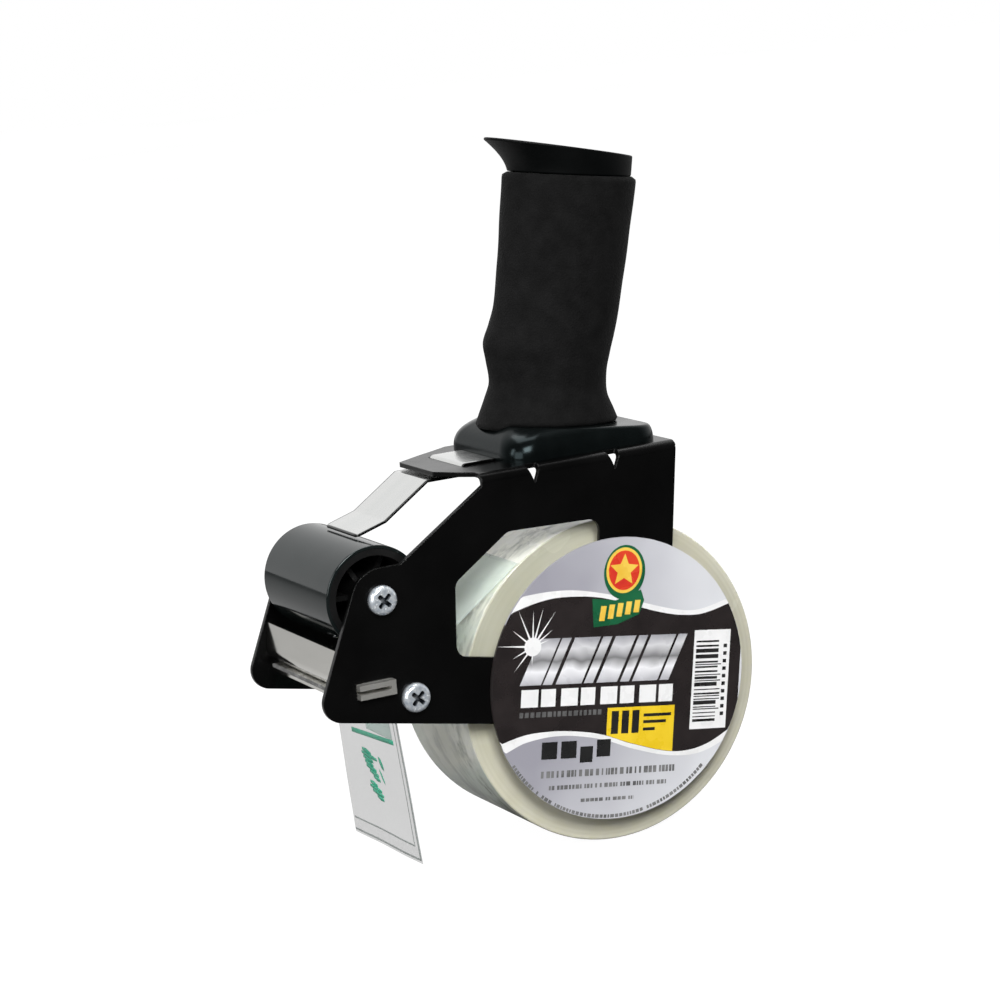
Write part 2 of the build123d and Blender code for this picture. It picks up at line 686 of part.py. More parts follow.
with BuildPart() as cutting_blade:
    with BuildSketch(Plane.XY.offset(blade_z)):
        with BuildLine():
            back_x = TAB_REAR_X - HOLDER_SHEET - 0.2
            points = [(back_x, -TEETH * TOOTH_PITCH / 2), (back_x, TEETH * TOOTH_PITCH / 2)]
            for i in range(TEETH, -1, -1):
                y = (i - TEETH / 2) * TOOTH_PITCH
                points.append((BLADE_FRONT_X + TOOTH_DEPTH, y))
                if i:
                    points.append((BLADE_FRONT_X, y - TOOTH_PITCH / 2))
            Polyline(*points, close=True)
        make_face()
        with Locations((BLADE_RIVET_X, -BLADE_RIVET_Y), (BLADE_RIVET_X, BLADE_RIVET_Y)):
            Circle(RIVET_HOLE_R, mode=Mode.SUBTRACT)
    extrude(amount=BLADE_SHEET)
save(cutting_blade.part, "cutting_blade")

save(
    Compound(
        children=[
            rivet(Plane(origin=(BLADE_RIVET_X, y, LEDGE_TOP)), BLADE_RIVET_R, RIVET_SHANK_R, TAB_HEIGHT)
            for y in (-BLADE_RIVET_Y, BLADE_RIVET_Y)
        ]
    ),
    "blade_rivets",
)

# ---- hub and its brake, along Y -----------------------------------------------------------------
DRUM_NEAR_Y = ROLL_MID_Y - TAPE_HALF - 0.1
DRUM_FAR_Y = ROLL_MID_Y + TAPE_HALF + 2.2
BOSS_FROM_Y = FLANGE_Y + 0.1 + BUSH_FLANGE


def disc(y_from, y_to, radius, bore=0.0, mode=Mode.ADD):
    """Disc or ring about the hub axis, from y_from to y_to."""
    with BuildSketch(across.offset(y_from)) as ring:
        Circle(radius)
        if bore:
            Circle(bore, mode=Mode.SUBTRACT)
    extrude(ring.sketch, amount=y_to - y_from, mode=mode)


with BuildPart() as hub_stud:
    disc(-OUTER_HALF, -INNER_HALF, STUD_R)
    disc(-INNER_HALF, FLANGE_Y, STUD_FLANGE_R)
    disc(FLANGE_Y, STUD_TIP_Y, STUD_R)
    stud_tip = hub_stud.edges().filter_by(GeomType.CIRCLE).sort_by(Axis.Y)[-1]
    chamfer(stud_tip, 0.8)
save(hub_stud.part, "hub_stud")

with BuildPart() as hub_bush:
    disc(FLANGE_Y + 0.1, BOSS_FROM_Y, BUSH_FLANGE_R, STUD_R + FIT)
    disc(BOSS_FROM_Y, BOSS_END_Y, BUSH_R, STUD_R + FIT)
save(hub_bush.part, "hub_bush")

with BuildPart() as hub_drum:
    disc(BOSS_FROM_Y, BOSS_END_Y, BOSS_R, BUSH_R)
    disc(DRUM_NEAR_Y - DRUM_FLANGE, DRUM_NEAR_Y, DRUM_FLANGE_R, DRUM_R - DRUM_WALL)
    disc(DRUM_NEAR_Y, DRUM_FAR_Y, DRUM_R, DRUM_R - DRUM_WALL)
    disc(DRUM_WEB_Y, DRUM_WEB_Y + DRUM_WEB, DRUM_R - DRUM_WALL + 0.2, BUSH_R + 1)
    with BuildSketch(across.offset(BOSS_FROM_Y)):
        with PolarLocations((SPOKE_FROM + SPOKE_TO) / 2, SPOKES):
            Rectangle(SPOKE_TO - SPOKE_FROM, SPOKE)
    extrude(amount=SPOKE_WIDTH)
    # snap barbs hold the core on
    with BuildSketch(across.offset(DRUM_FAR_Y - BARB)):
        with PolarLocations(DRUM_R + BARB_REACH - 1.2, BARBS, start_angle=45):
            Rectangle(2.4, BARB_WIDTH)
    extrude(amount=BARB)
save(hub_drum.part, "hub_drum")

WASHER_Y = BOSS_END_Y + 0.1
SPRING_FROM = WASHER_Y + FELT + THRUST
PRESSURE_END = SPRING_TO + CUP

with BuildPart() as friction_washer:
    disc(WASHER_Y, WASHER_Y + FELT, FELT_R, STUD_R + FIT)
save(friction_washer.part, "friction_washer")

with BuildPart() as thrust_washer:
    disc(WASHER_Y + FELT, SPRING_FROM, THRUST_R, STUD_R + FIT)
save(thrust_washer.part, "thrust_washer")

with BuildPart() as brake_spring:
    pitch = (SPRING_TO - SPRING_FROM - 2 * (SPRING_WIRE_R + SPRING_ROOM)) / SPRING_TURNS
    with BuildLine():
        coil = Helix(
            pitch,
            pitch * SPRING_TURNS,
            SPRING_MEAN_R,
            center=(0, SPRING_FROM + SPRING_WIRE_R + SPRING_ROOM, 0),
            direction=(0, 1, 0),
        )
    with BuildSketch(Plane(origin=coil @ 0, z_dir=coil % 0)):
        Circle(SPRING_WIRE_R)
    sweep()
save(brake_spring.part, "brake_spring")

with BuildPart() as pressure_washer:
    disc(SPRING_TO, PRESSURE_END, CUP_R, STUD_R + FIT)
    disc(SPRING_TO - CUP_LIP, SPRING_TO, CUP_R, CUP_R - CUP_RIM)
save(pressure_washer.part, "pressure_washer")

KNOB_FROM = PRESSURE_END + 0.1
with BuildPart() as tension_knob:
    with BuildSketch(across.offset(KNOB_FROM)):
        Circle(KNOB_R)
        with PolarLocations(KNOB_R + KNOB_FLUTE_OUT, KNOB_LOBES):
            Circle(KNOB_FLUTE_R, mode=Mode.SUBTRACT)
    extrude(amount=KNOB_TO - KNOB_FROM)
    fillet(tension_knob.faces().sort_by(Axis.Y)[-1].edges(), KNOB_EDGE_R)
    disc(KNOB_TO - KNOB_DISH, KNOB_TO + 1, KNOB_DISH_R, mode=Mode.SUBTRACT)
    disc(KNOB_FROM, KNOB_TO, STUD_R + FIT, mode=Mode.SUBTRACT)
save(tension_knob.part, "tension_knob")

# ---- roll of tape -------------------------------------------------------------------------------
ROLL_NEAR, ROLL_FAR = ROLL_MID_Y - TAPE_HALF, ROLL_MID_Y + TAPE_HALF
with BuildPart() as tape_core:
    disc(ROLL_NEAR, ROLL_FAR, CORE_R_OUT, CORE_R_IN)
save(tape_core.part, "tape_core")

with BuildPart() as tape_roll:
    disc(ROLL_NEAR, ROLL_FAR, ROLL_R, CORE_R_OUT)
    roll_rims = tape_roll.edges().filter_by(GeomType.CIRCLE).filter_by(
        lambda e: e.radius > ROLL_R - 0.1
    )
    fillet(roll_rims, ROLL_EDGE_R)
save(tape_roll.part, "tape_roll")

# free strip: leaves the roll, passes in front of the guide rod and hangs below the frame
wrap_r = ROD_R + 0.1
off_roll = ROLL_R + GAP
reach = (ROD_X**2 + ROD_Z**2) ** 0.5
tangent_at = atan2(ROD_Z, ROD_X) - acos((off_roll - wrap_r) / reach)
leave_roll = (off_roll * cos(tangent_at), off_roll * sin(tangent_at))
meet_rod = (ROD_X + wrap_r * cos(tangent_at), ROD_Z + wrap_r * sin(tangent_at))
leave_angle = radians(LEAVE_ROD)
leave_rod = (ROD_X + wrap_r * cos(leave_angle), ROD_Z + wrap_r * sin(leave_angle))

with BuildPart() as tape_strip:
    with BuildSketch(Plane.XZ.offset(-ROLL_MID_Y)):
        with BuildLine() as run:
            Line(leave_roll, meet_rod)
            RadiusArc(meet_rod, leave_rod, -wrap_r)
            TangentArc(leave_rod, TAIL_END, tangent=(-sin(leave_angle), cos(leave_angle)))
            offset(run.line, amount=STRIP, side=Side.RIGHT)
        make_face()
    extrude(amount=TAPE_HALF, both=True)
save(tape_strip.part, "tape_strip")

# ---- printed card on the outside of the hub plate -----------------------------------------------
with BuildPart() as label_card:
    with BuildSketch(Plane.XZ.offset(OUTER_HALF)):
        with Locations((CARD_X, CARD_Z)):
            Circle(CARD_R)
    extrude(amount=CARD)
save(label_card.part, "label_card")
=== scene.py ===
"""Looks of the packing-tape dispenser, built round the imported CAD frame, in metres and in its axes."""

import random
from math import acos, atan2, cos, pi, radians, sin, sqrt

import bmesh
import bpy
from mathutils import Matrix, Vector


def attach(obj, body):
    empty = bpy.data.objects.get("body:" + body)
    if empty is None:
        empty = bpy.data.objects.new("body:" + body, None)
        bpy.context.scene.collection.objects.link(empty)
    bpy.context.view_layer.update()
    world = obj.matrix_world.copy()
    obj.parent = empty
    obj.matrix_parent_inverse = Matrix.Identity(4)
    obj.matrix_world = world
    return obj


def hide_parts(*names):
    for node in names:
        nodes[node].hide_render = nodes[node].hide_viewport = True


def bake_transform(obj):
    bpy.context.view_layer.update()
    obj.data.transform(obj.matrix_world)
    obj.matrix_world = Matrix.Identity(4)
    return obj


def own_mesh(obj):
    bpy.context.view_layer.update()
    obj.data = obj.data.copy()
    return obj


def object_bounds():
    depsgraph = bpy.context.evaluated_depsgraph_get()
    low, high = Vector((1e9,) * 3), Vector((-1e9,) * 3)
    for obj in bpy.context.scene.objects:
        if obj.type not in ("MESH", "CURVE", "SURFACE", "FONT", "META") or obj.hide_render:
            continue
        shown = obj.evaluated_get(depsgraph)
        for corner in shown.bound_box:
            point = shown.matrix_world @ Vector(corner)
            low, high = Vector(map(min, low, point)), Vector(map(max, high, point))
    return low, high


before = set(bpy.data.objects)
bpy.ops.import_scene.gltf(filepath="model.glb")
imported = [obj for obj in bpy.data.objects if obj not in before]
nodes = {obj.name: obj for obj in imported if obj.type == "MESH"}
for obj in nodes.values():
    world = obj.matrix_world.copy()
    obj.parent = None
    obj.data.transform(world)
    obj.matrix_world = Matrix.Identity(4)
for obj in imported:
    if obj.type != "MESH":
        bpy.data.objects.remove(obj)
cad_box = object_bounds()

MM = 0.001


# ---- shader nodes -------------------------------------------------------------------------------
def add(tree, kind, links=None, **values):
    """A shader node with its settings, its socket values and its incoming links."""
    node = tree.nodes.new(kind)
    for key, value in values.items():
        if key in node.inputs:
            node.inputs[key].default_value = value
        else:
            setattr(node, key, value)
    for key, source in (links or {}).items():
        tree.links.new(source, node.inputs[key])
    return node


def position(tree):
    """Object-space position, in metres."""
    return add(tree, "ShaderNodeTexCoord").outputs["Object"]


def coordinate(tree, axis):
    """One coordinate of the object-space position."""
    return add(tree, "ShaderNodeSeparateXYZ", {"Vector": position(tree)}).outputs[axis]


def metres(tree, stretch=(1, 1, 1)):
    """Object-space position, stretched per axis."""
    return add(tree, "ShaderNodeMapping", {"Vector": position(tree)}, Scale=stretch).outputs["Vector"]


def noise(tree, vector, scale, detail=3.0, roughness=0.55):
    """Fractal noise from 0 to 1, with about scale lumps to the metre."""
    settings = {"Scale": scale, "Detail": detail, "Roughness": roughness}
    return add(tree, "ShaderNodeTexNoise", {"Vector": vector}, **settings).outputs["Fac"]


def combine(tree, operation, first, second=None):
    """Math node on one or two values, each a number or a socket."""
    node = add(tree, "ShaderNodeMath", operation=operation)
    for socket, value in zip(node.inputs, (first, second)):
        if isinstance(value, (int, float)):
            socket.default_value = value
        elif value is not None:
            tree.links.new(value, socket)
    return node.outputs["Value"]


def reach_along(tree, vector, direction):
    """Dot product of a vector socket with a fixed direction."""
    node = add(tree, "ShaderNodeVectorMath", {0: vector}, operation="DOT_PRODUCT")
    node.inputs[1].default_value = direction
    return node.outputs["Value"]


def ramp(tree, factor, low, high, start=0.3, end=0.7):
    """Colour that runs from low to high while factor runs from start to end."""
    node = add(tree, "ShaderNodeValToRGB", {"Fac": factor})
    for stop, place, colour in zip(node.color_ramp.elements, (start, end), (low, high)):
        stop.position = place
        stop.color = (*colour, 1.0)
    return node.outputs["Color"]


def spread(tree, value, low, high, start=0.3, end=0.7):
    """Value mapped from start..end to low..high."""
    node = add(tree, "ShaderNodeMapRange", {"Value": value})
    for key, number in zip(("From Min", "From Max", "To Min", "To Max"), (start, end, low, high)):
        node.inputs[key].default_value = number
    return node.outputs["Result"]


def mix(tree, factor, first, second):
    """Colour between two, each a colour or a socket."""
    node = add(tree, "ShaderNodeMix", {"Factor": factor}, data_type="RGBA")
    for place, value in ((6, first), (7, second)):
        if isinstance(value, tuple):
            node.inputs[place].default_value = (*value, 1.0)
        else:
            tree.links.new(value, node.inputs[place])
    return node.outputs[2]


def shader_of(material):
    return material.node_tree.nodes["Principled BSDF"]


def base_colour(material):
    """The socket that colours a material."""
    return shader_of(material).inputs["Base Color"].links[0].from_socket


def feed(material, socket, source):
    """Links a source to one socket of a material's shader."""
    material.node_tree.links.new(source, shader_of(material).inputs[socket])


def finish(name, low, high, rough, grain=60.0, bump=0.1, bump_grain=900.0, depth=0.0001,
           stretch=(1, 1, 1), **sockets):
    """Principled material: colour and roughness vary with one noise, bump comes from a finer one."""
    material = bpy.data.materials.new(name)
    material.use_nodes = True
    tree = material.node_tree
    place = metres(tree, stretch)
    broad = noise(tree, place, grain)
    fine = noise(tree, place, bump_grain, 4.0)
    feed(material, "Base Color", ramp(tree, broad, low, high))
    feed(material, "Roughness", spread(tree, broad, *rough))
    relief = add(tree, "ShaderNodeBump", {"Height": fine}, Strength=bump, Distance=depth)
    feed(material, "Normal", relief.outputs["Normal"])
    for key, value in sockets.items():
        shader_of(material).inputs[key.replace("_", " ")].default_value = value
    return material


def grey(value):
    return (value, value, value)


# ---- changes to a finished material -------------------------------------------------------------
def paint_hollow_shade(material, reach):
    """Paints shade into a material in hollows and next to other pieces, within about reach mm."""
    tree = material.node_tree
    hollow = add(tree, "ShaderNodeAmbientOcclusion", samples=8, Distance=reach * MM)
    openness = spread(tree, hollow.outputs["AO"], 0.0, 1.0, 0.38, 0.92)
    feed(material, "Base Color", mix(tree, openness, (0.010, 0.014, 0.020), base_colour(material)))


def round_edges(material, radius):
    """Lets sharp edges catch the light as if they were rounded to a radius in mm."""
    tree = material.node_tree
    relief = shader_of(material).inputs["Normal"].links[0].from_node
    edge = add(tree, "ShaderNodeBevel", samples=4, Radius=radius * MM)
    tree.links.new(edge.outputs["Normal"], relief.inputs["Normal"])


def paint_edge_shade(material, half, rim, end):
    """Paints shade on a strip's long edges, half mm off the middle, and on its end at X, each rim mm wide."""
    tree = material.node_tree
    side = combine(tree, "ABSOLUTE", coordinate(tree, "Y"))
    at_side = spread(tree, side, 0.0, 1.0, (half - rim) * MM, (half - rim / 2) * MM)
    at_end = spread(tree, coordinate(tree, "X"), 1.0, 0.0, (end + rim / 2) * MM, (end + rim) * MM)
    at_edge = combine(tree, "MAXIMUM", at_side, at_end)
    feed(material, "Base Color", mix(tree, at_edge, base_colour(material), grey(0.03)))


def dull_tabs(material, inner):
    """Makes a plated sheet less mirror-like more than inner mm either side of the middle."""
    tree = material.node_tree
    side = combine(tree, "ABSOLUTE", coordinate(tree, "Y"))
    feed(material, "Metallic", spread(tree, side, 1.0, 0.80, inner * MM, (inner + 0.5) * MM))


# ---- materials ----------------------------------------------------------------------------------
powder = finish("powder_coat", grey(0.0010), grey(0.0020), (0.18, 0.26), bump=0.10, bump_grain=1400.0,
                Specular_IOR_Level=0.22)
round_edges(powder, 0.5)
shell = finish("black_shell", (0.0015, 0.0020, 0.0020), (0.0030, 0.0040, 0.0040), (0.17, 0.27), bump=0.04,
               Specular_IOR_Level=0.14, Specular_Tint=(0.72, 0.95, 1.0, 1.0))
cap_shell = finish("cap_shell", (0.0012, 0.0015, 0.0015), (0.0026, 0.0030, 0.0030), (0.38, 0.48), bump=0.10,
                   bump_grain=1300.0, Specular_IOR_Level=0.08)
zinc = finish("bright_zinc", (0.56, 0.58, 0.62), (0.80, 0.82, 0.85), (0.16, 0.30), grain=350.0, bump=0.06,
              Metallic=1.0)
strip_steel = finish("strip_steel", (0.66, 0.67, 0.66), (0.72, 0.72, 0.71), (0.20, 0.26), grain=30.0,
                     bump=0.05, bump_grain=500.0, stretch=(0.25, 3.0, 0.25), Metallic=1.0)
plate_steel = finish("plated_sheet", (0.68, 0.67, 0.63), (0.78, 0.77, 0.73), (0.10, 0.18), grain=50.0,
                     bump=0.05, stretch=(2.0, 0.3, 2.0), Metallic=1.0)
dull_tabs(plate_steel, 28.5)
blade_steel = finish("ground_steel", (0.68, 0.68, 0.67), (0.88, 0.88, 0.87), (0.18, 0.30), grain=120.0,
                     bump=0.15, bump_grain=1600.0, stretch=(0.2, 2.0, 1.0), Metallic=1.0)
roller_skin = finish("roller_skin", (0.004, 0.006, 0.006), (0.007, 0.009, 0.009), (0.07, 0.12), grain=90.0,
                     bump=0.02, Specular_IOR_Level=0.31, Specular_Tint=(0.90, 1.0, 1.0, 1.0))
moulded = finish("moulded_black", grey(0.002), grey(0.004), (0.35, 0.5), bump=0.15, bump_grain=1200.0,
                 Specular_IOR_Level=0.4)
hub_plastic = finish("hub_plastic", grey(0.012), grey(0.022), (0.34, 0.48), bump=0.2, bump_grain=1000.0)
nylon = finish("natural_nylon", (0.62, 0.60, 0.54), (0.74, 0.72, 0.66), (0.35, 0.5), bump=0.1,
               Subsurface_Weight=0.1)
screw_zinc = finish("screw_zinc", (0.48, 0.54, 0.62), (0.94, 0.98, 1.00), (0.12, 0.30), grain=900.0,
                    bump=0.12, Metallic=0.62)
# painted shade in the screws' cross recesses and round their rims against the plates
paint_hollow_shade(screw_zinc, 2.5)
felt = finish("pressed_felt", (0.16, 0.15, 0.14), (0.34, 0.32, 0.30), (0.85, 0.95), grain=1500.0, bump=0.7,
              bump_grain=2600.0, depth=0.0003)
board = finish("wound_board", (0.30, 0.21, 0.13), (0.46, 0.34, 0.22), (0.7, 0.85), grain=260.0, bump=0.35,
               bump_grain=1800.0, stretch=(1, 0.2, 1))


# ---- wound tape ---------------------------------------------------------------------------------
TREAD_R = 52.8  # the radius where the roll's ends give way to its tread
SCUFF_Y = -13.0  # the middle of the scuffed band, near the hub side
TO_FINGER = (-0.75, 0.0, 0.66)  # from the hub's axis towards the spring finger, the way the painted shade on the roll's ends deepens


def end_colour(tree, place, radius_line):
    """Ringed cream, with painted shade that deepens towards the spring finger."""
    rings = spread(tree, noise(tree, radius_line, 700.0, 2.0), 0.0, 0.5, 0.35, 0.75)
    cream = ramp(tree, noise(tree, place, 38.0), (0.60, 0.58, 0.46), (0.68, 0.67, 0.57))
    ringed = mix(tree, rings, cream, (0.50, 0.48, 0.36))
    # painted shade: the ends darken towards the spring finger
    shade = spread(tree, reach_along(tree, place, TO_FINGER), 0.0, 0.55, 0.018, 0.046)
    return mix(tree, shade, ringed, (0.40, 0.41, 0.32))


def tread_colour(tree, place):
    """Cloudy film with green patches, faint smudges and a band of scuffs."""
    film = ramp(tree, noise(tree, place, 38.0), (0.84, 0.85, 0.74), (0.93, 0.94, 0.85))
    patches = noise(tree, metres(tree, (1, 0.6, 1)), 45.0, 1.0)
    film = mix(tree, spread(tree, patches, 0.0, 0.45, 0.52, 0.66), film, (0.58, 0.72, 0.64))
    smudges = noise(tree, metres(tree, (0.6, 1.8, 0.6)), 80.0)
    film = mix(tree, spread(tree, smudges, 0.0, 0.36, 0.54, 0.64), film, (0.20, 0.22, 0.20))
    off_band = combine(tree, "ABSOLUTE", combine(tree, "ADD", coordinate(tree, "Y"), -SCUFF_Y * MM))
    in_band = spread(tree, off_band, 0.72, 0.0, 0.002, 0.010)
    mottle = noise(tree, metres(tree, (0.9, 1.5, 0.9)), 170.0, 3.0, 0.6)
    scuffs = combine(tree, "MULTIPLY", in_band, spread(tree, mottle, 0.0, 1.0, 0.46, 0.66))
    return mix(tree, scuffs, film, (0.20, 0.22, 0.18))


def wound_film():
    """Clear film in hundreds of turns."""
    material = finish("wound_film", grey(0.8), grey(0.8), (0.18, 0.30), grain=38.0, Subsurface_Weight=0.6,
                      Subsurface_Radius=(0.010, 0.010, 0.008), Coat_Weight=0.4, Coat_Roughness=0.12)
    tree = material.node_tree
    place = position(tree)
    axes = add(tree, "ShaderNodeSeparateXYZ", {"Vector": place}).outputs
    off_axis = add(tree, "ShaderNodeCombineXYZ", {"X": axes["X"], "Y": axes["Z"]}).outputs["Vector"]
    radius = add(tree, "ShaderNodeVectorMath", {0: off_axis}, operation="LENGTH").outputs["Value"]
    radius_line = add(tree, "ShaderNodeCombineXYZ", {"X": radius}).outputs["Vector"]
    on_tread = spread(tree, radius, 0.0, 1.0, (TREAD_R - 0.05) * MM, (TREAD_R + 0.08) * MM)
    feed(material, "Base Color", mix(tree, on_tread, end_colour(tree, place, radius_line),
                                     tread_colour(tree, place)))
    layers = noise(tree, radius_line, 5200.0, 2.0)
    relief = add(tree, "ShaderNodeBump", {"Height": layers}, Strength=0.25, Distance=0.00005)
    feed(material, "Normal", relief.outputs["Normal"])
    return material


def dress(material, *names):
    """Gives CAD nodes a material."""
    for name in names:
        nodes[name].data.materials.clear()
        nodes[name].data.materials.append(material)


dress(powder, "frame", "front_plate")
dress(shell, "handle_base", "tension_knob")
dress(cap_shell, "handle_cap")
dress(screw_zinc, "roller_screws", "rod_screws")
dress(zinc, "handle_screws", "finger_rivets", "blade_rivets", "roller_axle", "guide_rod", "hub_stud",
      "thrust_washer", "pressure_washer")
dress(plate_steel, "blade_holder")
dress(blade_steel, "cutting_blade")
dress(roller_skin, "roller_sleeve")
dress(moulded, "roller_core")
dress(hub_plastic, "hub_drum")
dress(nylon, "hub_bush", "roller_washers")
dress(felt, "friction_washer")
dress(board, "tape_core")
dress(wound_film(), "tape_roll")


# ---- meshes -------------------------------------------------------------------------------------
def piece(name, mesh_maker, material, body="frame_body", smooth=True):
    """A new object from bmesh code, with its material and body."""
    mesh = bpy.data.meshes.new(name)
    bm = bmesh.new()
    mesh_maker(bm)
    bmesh.ops.recalc_face_normals(bm, faces=bm.faces)
    bm.to_mesh(mesh)
    bm.free()
    for face in mesh.polygons:
        face.use_smooth = smooth
    obj = bpy.data.objects.new(name, mesh)
    bpy.context.scene.collection.objects.link(obj)
    mesh.materials.append(material)
    if body:
        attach(obj, body)
    return obj


def smooth_curve(points):
    """Function through (x, y) points in rising x, made of Catmull-Rom cubic pieces."""
    def value(x):
        x = min(max(x, points[0][0]), points[-1][0])
        i = max(k for k in range(len(points) - 1) if points[k][0] <= x)
        (x0, y0), (x1, y1) = points[i], points[i + 1]
        before = points[max(i - 1, 0)]
        after = points[min(i + 2, len(points) - 1)]
        m0 = (y1 - before[1]) / (x1 - before[0])
        m1 = (after[1] - y0) / (after[0] - x0)
        t = (x - x0) / (x1 - x0)
        h = x1 - x0
        return (
            y0 * (2 * t**3 - 3 * t**2 + 1)
            + m0 * h * (t**3 - 2 * t**2 + t)
            + y1 * (3 * t**2 - 2 * t**3)
            + m1 * h * (t**3 - t**2)
        )
    return value


# ---- foam sleeve --------------------------------------------------------------------------------
LEAN = radians(11.2)  # of the handle, towards the back
HANDLE_X, TOP_Z = -5.6, 75.2  # the handle's axis at the top plate, and the plate's upper face
HANDLE_FOOT = Vector((HANDLE_X, 0.0, TOP_Z)) * MM
along = Vector((sin(LEAN), 0.0, cos(LEAN)))
across = Vector((cos(LEAN), 0.0, -sin(LEAN)))
sideways = Vector((0.0, 1.0, 0.0))
FOAM_TOP, FOAM_TOP_SLOPE = 87.8, 0.048  # along the handle's axis, and how it rises to the back
FOAM_TUCK = 1.75  # how far the foam's foot goes below the base's sloping top
FOAM_GAP, PAD_GAP = 0.05, 0.06  # clearance under the cap and over the base
FOOT_EDGE, TOP_EDGE = 0.8, 1.6  # how round the sleeve's ends are
FOAM_SECTIONS = [  # height along the handle, front reach, rear reach, half width
    (2.0, 24.4, 28.0, 20.0), (9.0, 22.6, 25.2, 18.8), (14.0, 21.3, 22.4, 17.6), (19.0, 20.4, 19.4, 16.7),
    (26.0, 22.6, 18.3, 16.5), (31.5, 24.1, 18.9, 16.7), (37.5, 22.6, 19.9, 16.9), (44.0, 21.4, 20.6, 17.0),
    (58.0, 21.3, 21.6, 17.2), (72.0, 21.8, 22.3, 17.5), (92.0, 22.6, 23.0, 18.0),
]
front_reach = smooth_curve([(t, front) for t, front, rear, half in FOAM_SECTIONS])
rear_reach = smooth_curve([(t, rear) for t, front, rear, half in FOAM_SECTIONS])
half_width = smooth_curve([(t, half) for t, front, rear, half in FOAM_SECTIONS])
STEM_A, STEM_B = 16.05, 11.55  # the stem's half length and half width, with clearance
PAD_FRONT, PAD_REAR, PAD_HALF, PAD_CORNER = -29.7, 25.1, 24.5, 9.0
PAD_TOP, PAD_FALL = 82.62, 0.1093  # the base's sloping top over the hub, and how it falls to the back
pad_wall = smooth_curve([(0.0, 0.0), (0.25, 3.0), (1.2, 5.5), (3.0, 7.6), (5.6, 9.4), (9.4, 11.2)])


def pad_slope(x):
    """Height of the handle base's sloping top at x, in mm."""
    return PAD_TOP - PAD_FALL * x


def pad_surface(x, y):
    """Height of the handle base's pillow at a point, but no lower than the foam reaches."""
    u = abs(x - (PAD_FRONT + PAD_REAR) / 2) - (PAD_REAR - PAD_FRONT) / 2 + PAD_CORNER
    v = abs(y) - PAD_HALF + PAD_CORNER
    inset = PAD_CORNER - (sqrt(u * u + v * v) if u > 0 and v > 0 else max(u, v))
    wall = TOP_Z + (pad_wall(inset) if inset > 0 else 0.0)
    return max(min(wall, pad_slope(x)), pad_slope(x) - FOAM_TUCK) + PAD_GAP


def foam_mesh(bm):
    """Sleeve round the stem, soft at both ends, that rests on the handle base."""
    rows, around, under = 90, 144, 6
    foot_height = 5.0  # where the sections are read for the foot

    def spot(t, u, v):
        return HANDLE_FOOT + (along * t + across * u + sideways * v) * MM

    def on_pad(u, v):
        """Height along the handle at which the line at reach u and side v meets the pad."""
        t = 8.0
        for _ in range(12):
            here = spot(t, u, v) / MM
            t += (pad_surface(here.x, v) - here.z) / cos(LEAN)
        return t

    turns = [2 * pi * i / around for i in range(around)]
    outline = []
    for turn in turns:
        c, s = cos(turn), sin(turn)
        reach = rear_reach if c > 0 else front_reach
        floor = on_pad(c * reach(foot_height), s * half_width(foot_height))
        top = FOAM_TOP + FOAM_TOP_SLOPE * c * reach(FOAM_TOP) - FOAM_GAP
        outline.append((turn, c, s, reach, floor, top))
    rings = []
    for row in range(rows + 1):
        rise = row / rows
        ring = []
        for turn, c, s, reach, floor, top in outline:
            t = floor + (top - floor) * rise
            inset = 0.0
            for gap, soft in ((t - floor, FOOT_EDGE), (top - t, TOP_EDGE)):
                if gap < soft:
                    inset = soft - sqrt(max(soft**2 - (soft - gap) ** 2, 0.0))
            wobble = 0.10 * sin(t * 0.21 + 3 * turn) * sin(t * 0.13 + 1.7)
            out = reach(t) - inset + wobble
            half = half_width(t) - inset + wobble
            ring.append(bm.verts.new(spot(t, c * out, s * half)))
        rings.append(ring)
    # the top face runs in to the stem, and the foot follows the pad's shoulder out from it
    bore_top, feet = [], []
    for turn, c, s, reach, floor, top in outline:
        u = c * STEM_A
        bore_top.append(bm.verts.new(spot(FOAM_TOP + FOAM_TOP_SLOPE * u - FOAM_GAP, u, s * STEM_B)))
    for k in range(under):
        share = k / under
        ring = []
        for turn, c, s, reach, floor, top in outline:
            outer_u = c * (reach(floor) - FOOT_EDGE)
            outer_v = s * (half_width(floor) - FOOT_EDGE)
            u = c * STEM_A + (outer_u - c * STEM_A) * share
            v = s * STEM_B + (outer_v - s * STEM_B) * share
            ring.append(bm.verts.new(spot(on_pad(u, v), u, v)))
        feet.append(ring)
    loop = rings + [bore_top] + feet
    for lower, upper in zip(loop, loop[1:] + loop[:1]):
        for i in range(around):
            j = (i + 1) % around
            bm.faces.new((lower[i], lower[j], upper[j], upper[i]))


def foam_material():
    """Matt closed-cell foam, pitted by its cells."""
    material = finish("foam", grey(0.0042), grey(0.0080), (0.85, 0.95), grain=170.0, bump=0.0,
                      Sheen_Weight=0.025, Sheen_Roughness=0.4, Specular_IOR_Level=0.06)
    tree = material.node_tree
    place = metres(tree)
    cells = add(tree, "ShaderNodeTexVoronoi", {"Vector": place}, Scale=1500.0)
    lumps = noise(tree, place, 520.0, 3.0)
    height = combine(tree, "ADD", cells.outputs["Distance"], lumps)
    relief = add(tree, "ShaderNodeBump", {"Height": height}, Strength=0.6, Distance=0.00025)
    feed(material, "Normal", relief.outputs["Normal"])
    return material


foam = piece("foam_sleeve", foam_mesh, foam_material())
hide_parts("foam_grip")

